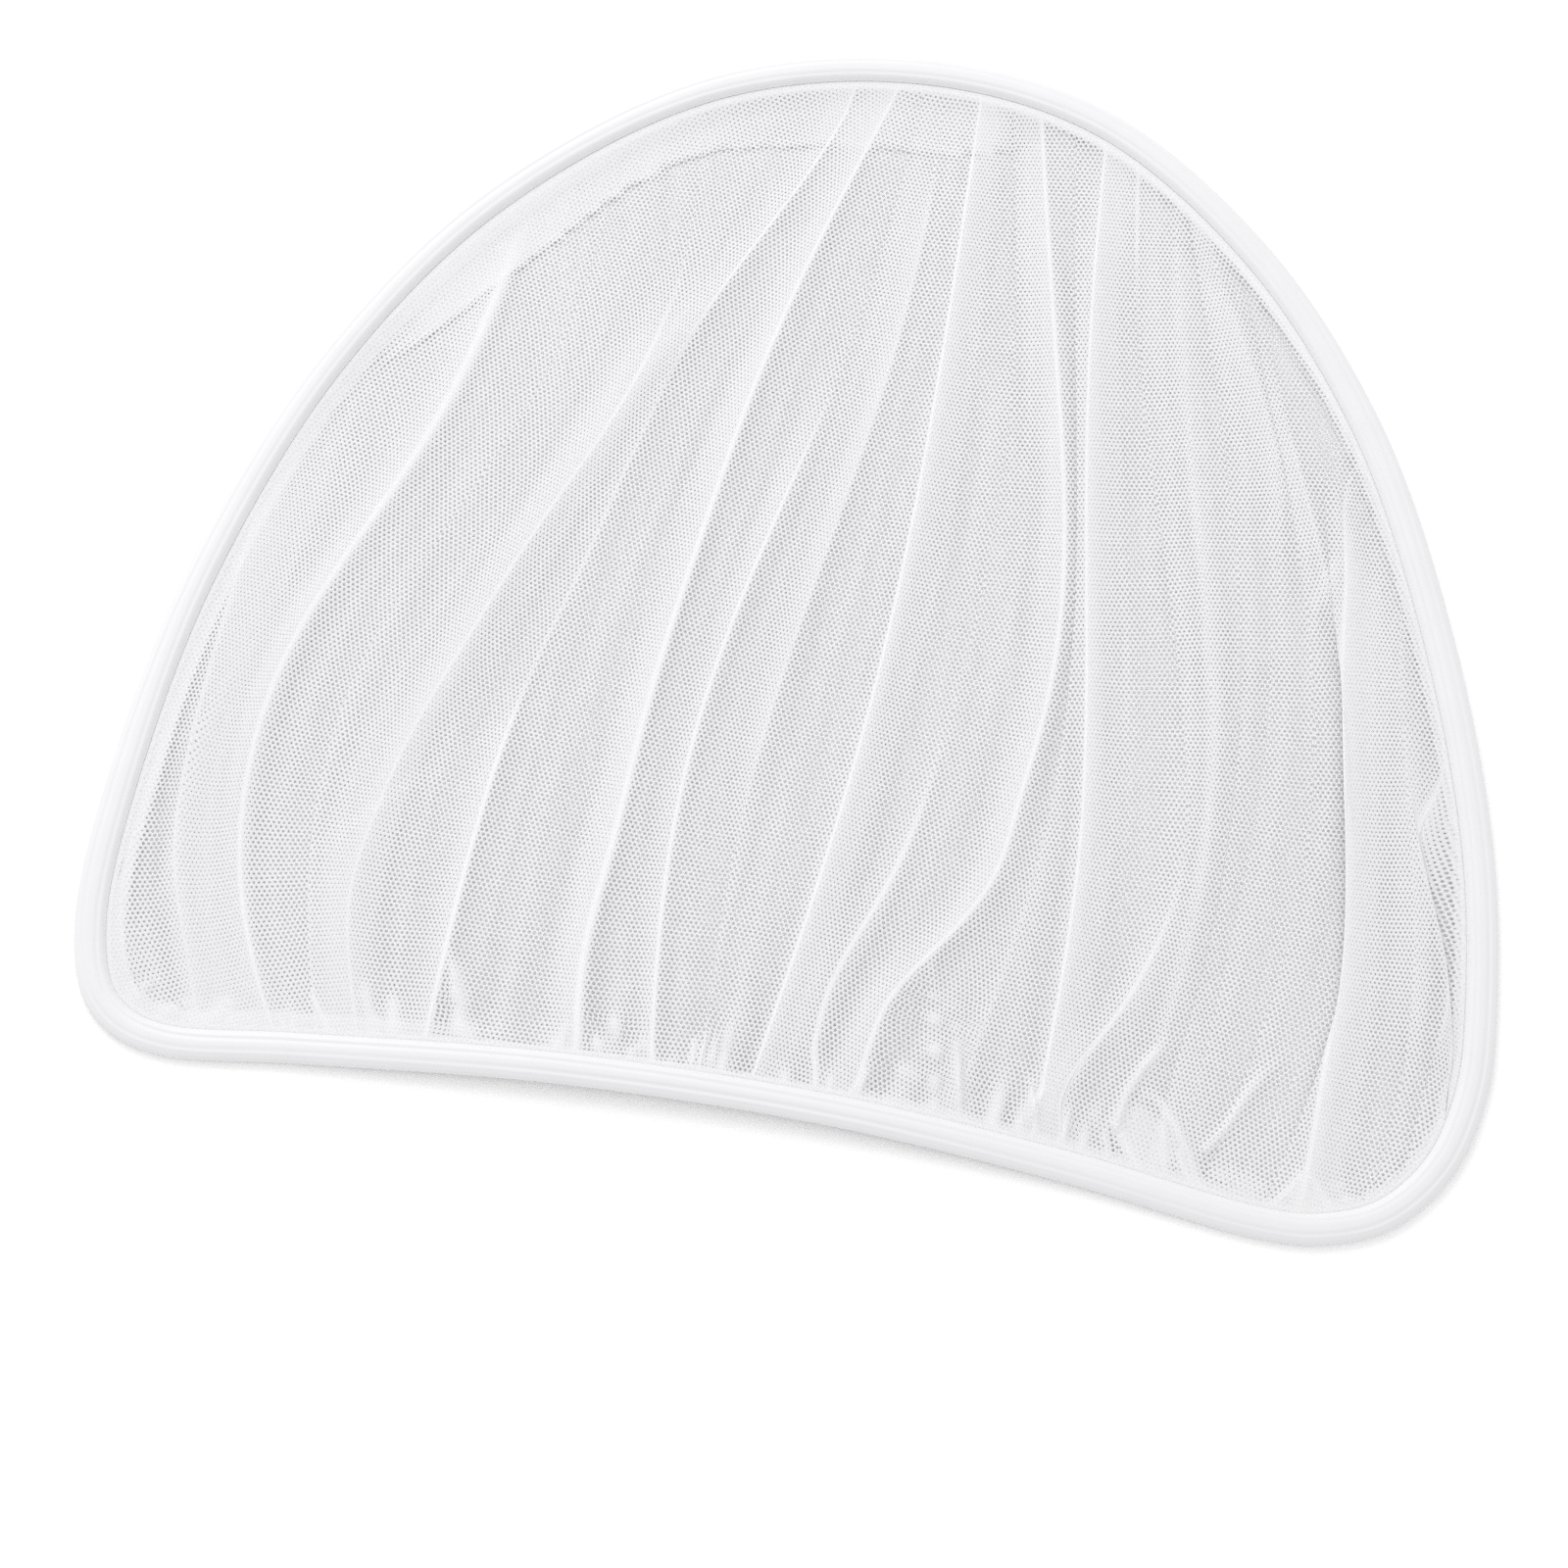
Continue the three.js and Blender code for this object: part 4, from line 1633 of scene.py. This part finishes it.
@dataclass
class Binding:
    """The soft stretch tape, folded over the edge of the net and carried once round the loop.

    shoulder is the height of its outer side, lip_above and lip_below are the distances of the
    slit's walls from the middle, and roll_down is how far its top turns down towards the net.
    outer_side and inner_side are places on its section below the top, as the distance in from
    that side and the height. wanders are the size, the waves round the loop and the start of
    each sway of its grooves.
    """

    loop: Loop
    width: float = 12.0
    thickness: float = 5.0
    shoulder: float = 2.6
    crown_powers: tuple[float, float] = (2.6, 0.56)
    lip_above: float = 0.15
    lip_below: float = 0.6
    slit_depth: float = 4.2
    lip_in: float = 0.05
    top_ends: tuple[float, float] = (0.25, 0.4)
    outer_side: tuple[tuple[float, float], ...] = ((0.12, 3.1), (0, 2.5), (0.2, 1.2), (0.9, 0.35))
    inner_side: tuple[tuple[float, float], ...] = ((0.7, 0.3), (0.15, 1.0))
    inner_round: tuple[float, float] = (0.02, 0.25)
    sole_share: float = 0.31
    wanders: tuple[tuple[float, int, float], ...] = ((0.35, 3, 0.7), (0.2, 7, 0.0))
    roll_down: float = 0.4
    rolls: Ramp = Ramp(3.2, 5.8)
    top_steps: int = 26
    crisp_deg: float = 40.0

    def build(self) -> bpy.types.Object:
        """Builds the tape and dresses it.

        Returns:
            The piece.
        """
        made = self.grid().make(BindingFinish().material())
        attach(made, BODY)
        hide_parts("binding")
        return made

    def _top(self, across: np.ndarray, around: float) -> np.ndarray:
        """The height of the tape's top, with its soft lengthwise grooves.

        Args:
            across: Places across the tape, towards the net.
            around: The share of the way round the loop.

        Returns:
            The heights off its sole.
        """
        share = np.abs(across) / (self.width / 2)
        inner_power, outer_power = self.crown_powers
        swell = (1 - share**inner_power) ** outer_power
        turn = 2 * math.pi * around
        wander = sum(size * math.sin(waves * turn + start) for size, waves, start in self.wanders)
        sunk = sum(groove.on(across, turn, wander) for groove in GROOVES)
        top = lerp(self.shoulder, self.thickness, swell)
        return top - sunk - self.roll_down * self.rolls.at(across)

    def _section(self, around: float) -> np.ndarray:
        """The closed section of the folded tape, across towards the net and up off the surface.

        Args:
            around: The share of the way round the loop.

        Returns:
            Its points: over the top, down the outer side, along the sole, then round the slit.
        """
        side = self.width / 2
        sole = self.width * self.sole_share
        slit_top = self.thickness / 2 + self.lip_above
        slit_sole = self.thickness / 2 - self.lip_below
        slit_end = side - self.slit_depth
        top = np.linspace(side - self.top_ends[0], self.top_ends[1] - side, self.top_steps)
        lip = (side - self.inner_round[0], slit_top + self.inner_round[1])
        over = [lip, *zip(top, self._top(top, around))]
        outer = [(inset - side, height) for inset, height in self.outer_side]
        inner = [(side - inset, height) for inset, height in self.inner_side]
        slit = [(side, slit_sole), (slit_end, slit_sole), (slit_end, slit_top)]
        slit_mouth = (side - self.lip_in, slit_top)
        return np.array([*over, *outer, (-sole, 0), (sole, 0), *inner, *slit, slit_mouth, lip])

    def grid(self) -> ClothGrid:
        """Works out the tape's points round the loop.

        Returns:
            The tape's grid, with a column for each station of the loop.
        """
        count = len(self.loop.middle)
        rings = []
        for place, inward, station in zip(self.loop.middle, self.loop.inward, range(count)):
            across, up = self._section(station / count).T
            x, y, lift = place
            rings.append(np.stack([x + inward[0] * across, y + inward[1] * across, lift + up], axis=1))
        points = np.stack([*rings, rings[0]])
        round_tape = Line(points[0]).reached
        along = Line(np.concatenate([self.loop.middle, self.loop.middle[:1]])).reached
        flat = np.stack(np.broadcast_arrays(round_tape[None], along[:, None]), axis=2)
        crowd = np.zeros(points.shape[:2])
        return ClothGrid("binding_tape", points, flat, crowd, crisp_deg=self.crisp_deg)


@dataclass(frozen=True)
class Studio:
    """The floor, the soft light and the camera, in metres.

    clear_layers is how many open meshes a ray of light may pass.
    """

    aim: tuple[float, float, float] = (-0.0105, -0.0879, 0.0)
    distance: float = 1.4148
    elevation_deg: float = 70.0
    azimuth_deg: float = 9.1
    sensor: float = 36.0
    focal_pixels: float = 3730.0
    frame_pixels: float = 1600.0
    floor_size: float = 12.0
    surround: float = 1.02
    key_power: float = 40.0
    key_size: float = 2.4
    key_place: tuple[float, float, float] = (-1.35, 1.85, 1.65)
    clear_layers: int = 24

    def build(self) -> None:
        """Builds the floor, the lights and the camera."""
        self._floor()
        self._light()
        self._camera()
        scene = bpy.context.scene
        scene.view_settings.view_transform = "Standard"
        scene.cycles.transparent_max_bounces = self.clear_layers
        scene.cycles.use_denoising = False

    def _floor(self) -> None:
        """Lays the plain floor."""
        bpy.ops.mesh.primitive_plane_add(size=self.floor_size)
        floor = bpy.context.active_object
        floor.name = "floor"
        floor.data.materials.append(FloorFinish().material())

    def _light(self) -> None:
        """Sets the even surround and the broad lamp beyond the crown."""
        world = bpy.data.worlds.new("surround")
        bpy.context.scene.world = world
        world.use_nodes = True
        back = world.node_tree.nodes["Background"]
        back.inputs["Color"].default_value = (1.0, 1.0, 1.0, 1.0)
        back.inputs["Strength"].default_value = self.surround
        bpy.ops.object.light_add(type="AREA", location=self.key_place)
        lamp = bpy.context.active_object
        lamp.name = "key"
        lamp.data.energy = self.key_power
        lamp.data.size = self.key_size
        away = Vector(self.aim) - Vector(self.key_place)
        lamp.rotation_euler = away.to_track_quat("-Z", "Y").to_euler()

    def _camera(self) -> None:
        """Places the camera at the photograph's angle."""
        up, turn = math.radians(self.elevation_deg), math.radians(self.azimuth_deg)
        flat = math.cos(up)
        back = Vector((math.sin(turn) * flat, -math.cos(turn) * flat, math.sin(up)))
        bpy.ops.object.camera_add(location=Vector(self.aim) + back * self.distance)
        camera = bpy.context.active_object
        camera.name = "camera"
        camera.rotation_mode = "QUATERNION"
        camera.rotation_quaternion = (-back).to_track_quat("-Z", "Y")
        camera.data.sensor_width = self.sensor
        camera.data.lens = self.sensor * self.focal_pixels / self.frame_pixels
        bpy.context.scene.camera = camera


def report(piece: bpy.types.Object) -> None:
    """Logs a piece and its number of faces."""
    log.info("%s: %d faces", piece.name, len(piece.data.polygons))


def main() -> None:
    logging.basicConfig(level=logging.INFO)
    loop = Loop()
    upper = UpperNet(loop).build()
    report(upper)
    under = UnderNet(loop).build()
    report(under)
    turned = TurnedNet(loop).build()
    report(turned)
    binding = Binding(loop).build()
    report(binding)
    Studio().build()


if __name__ == "__main__":
    main()
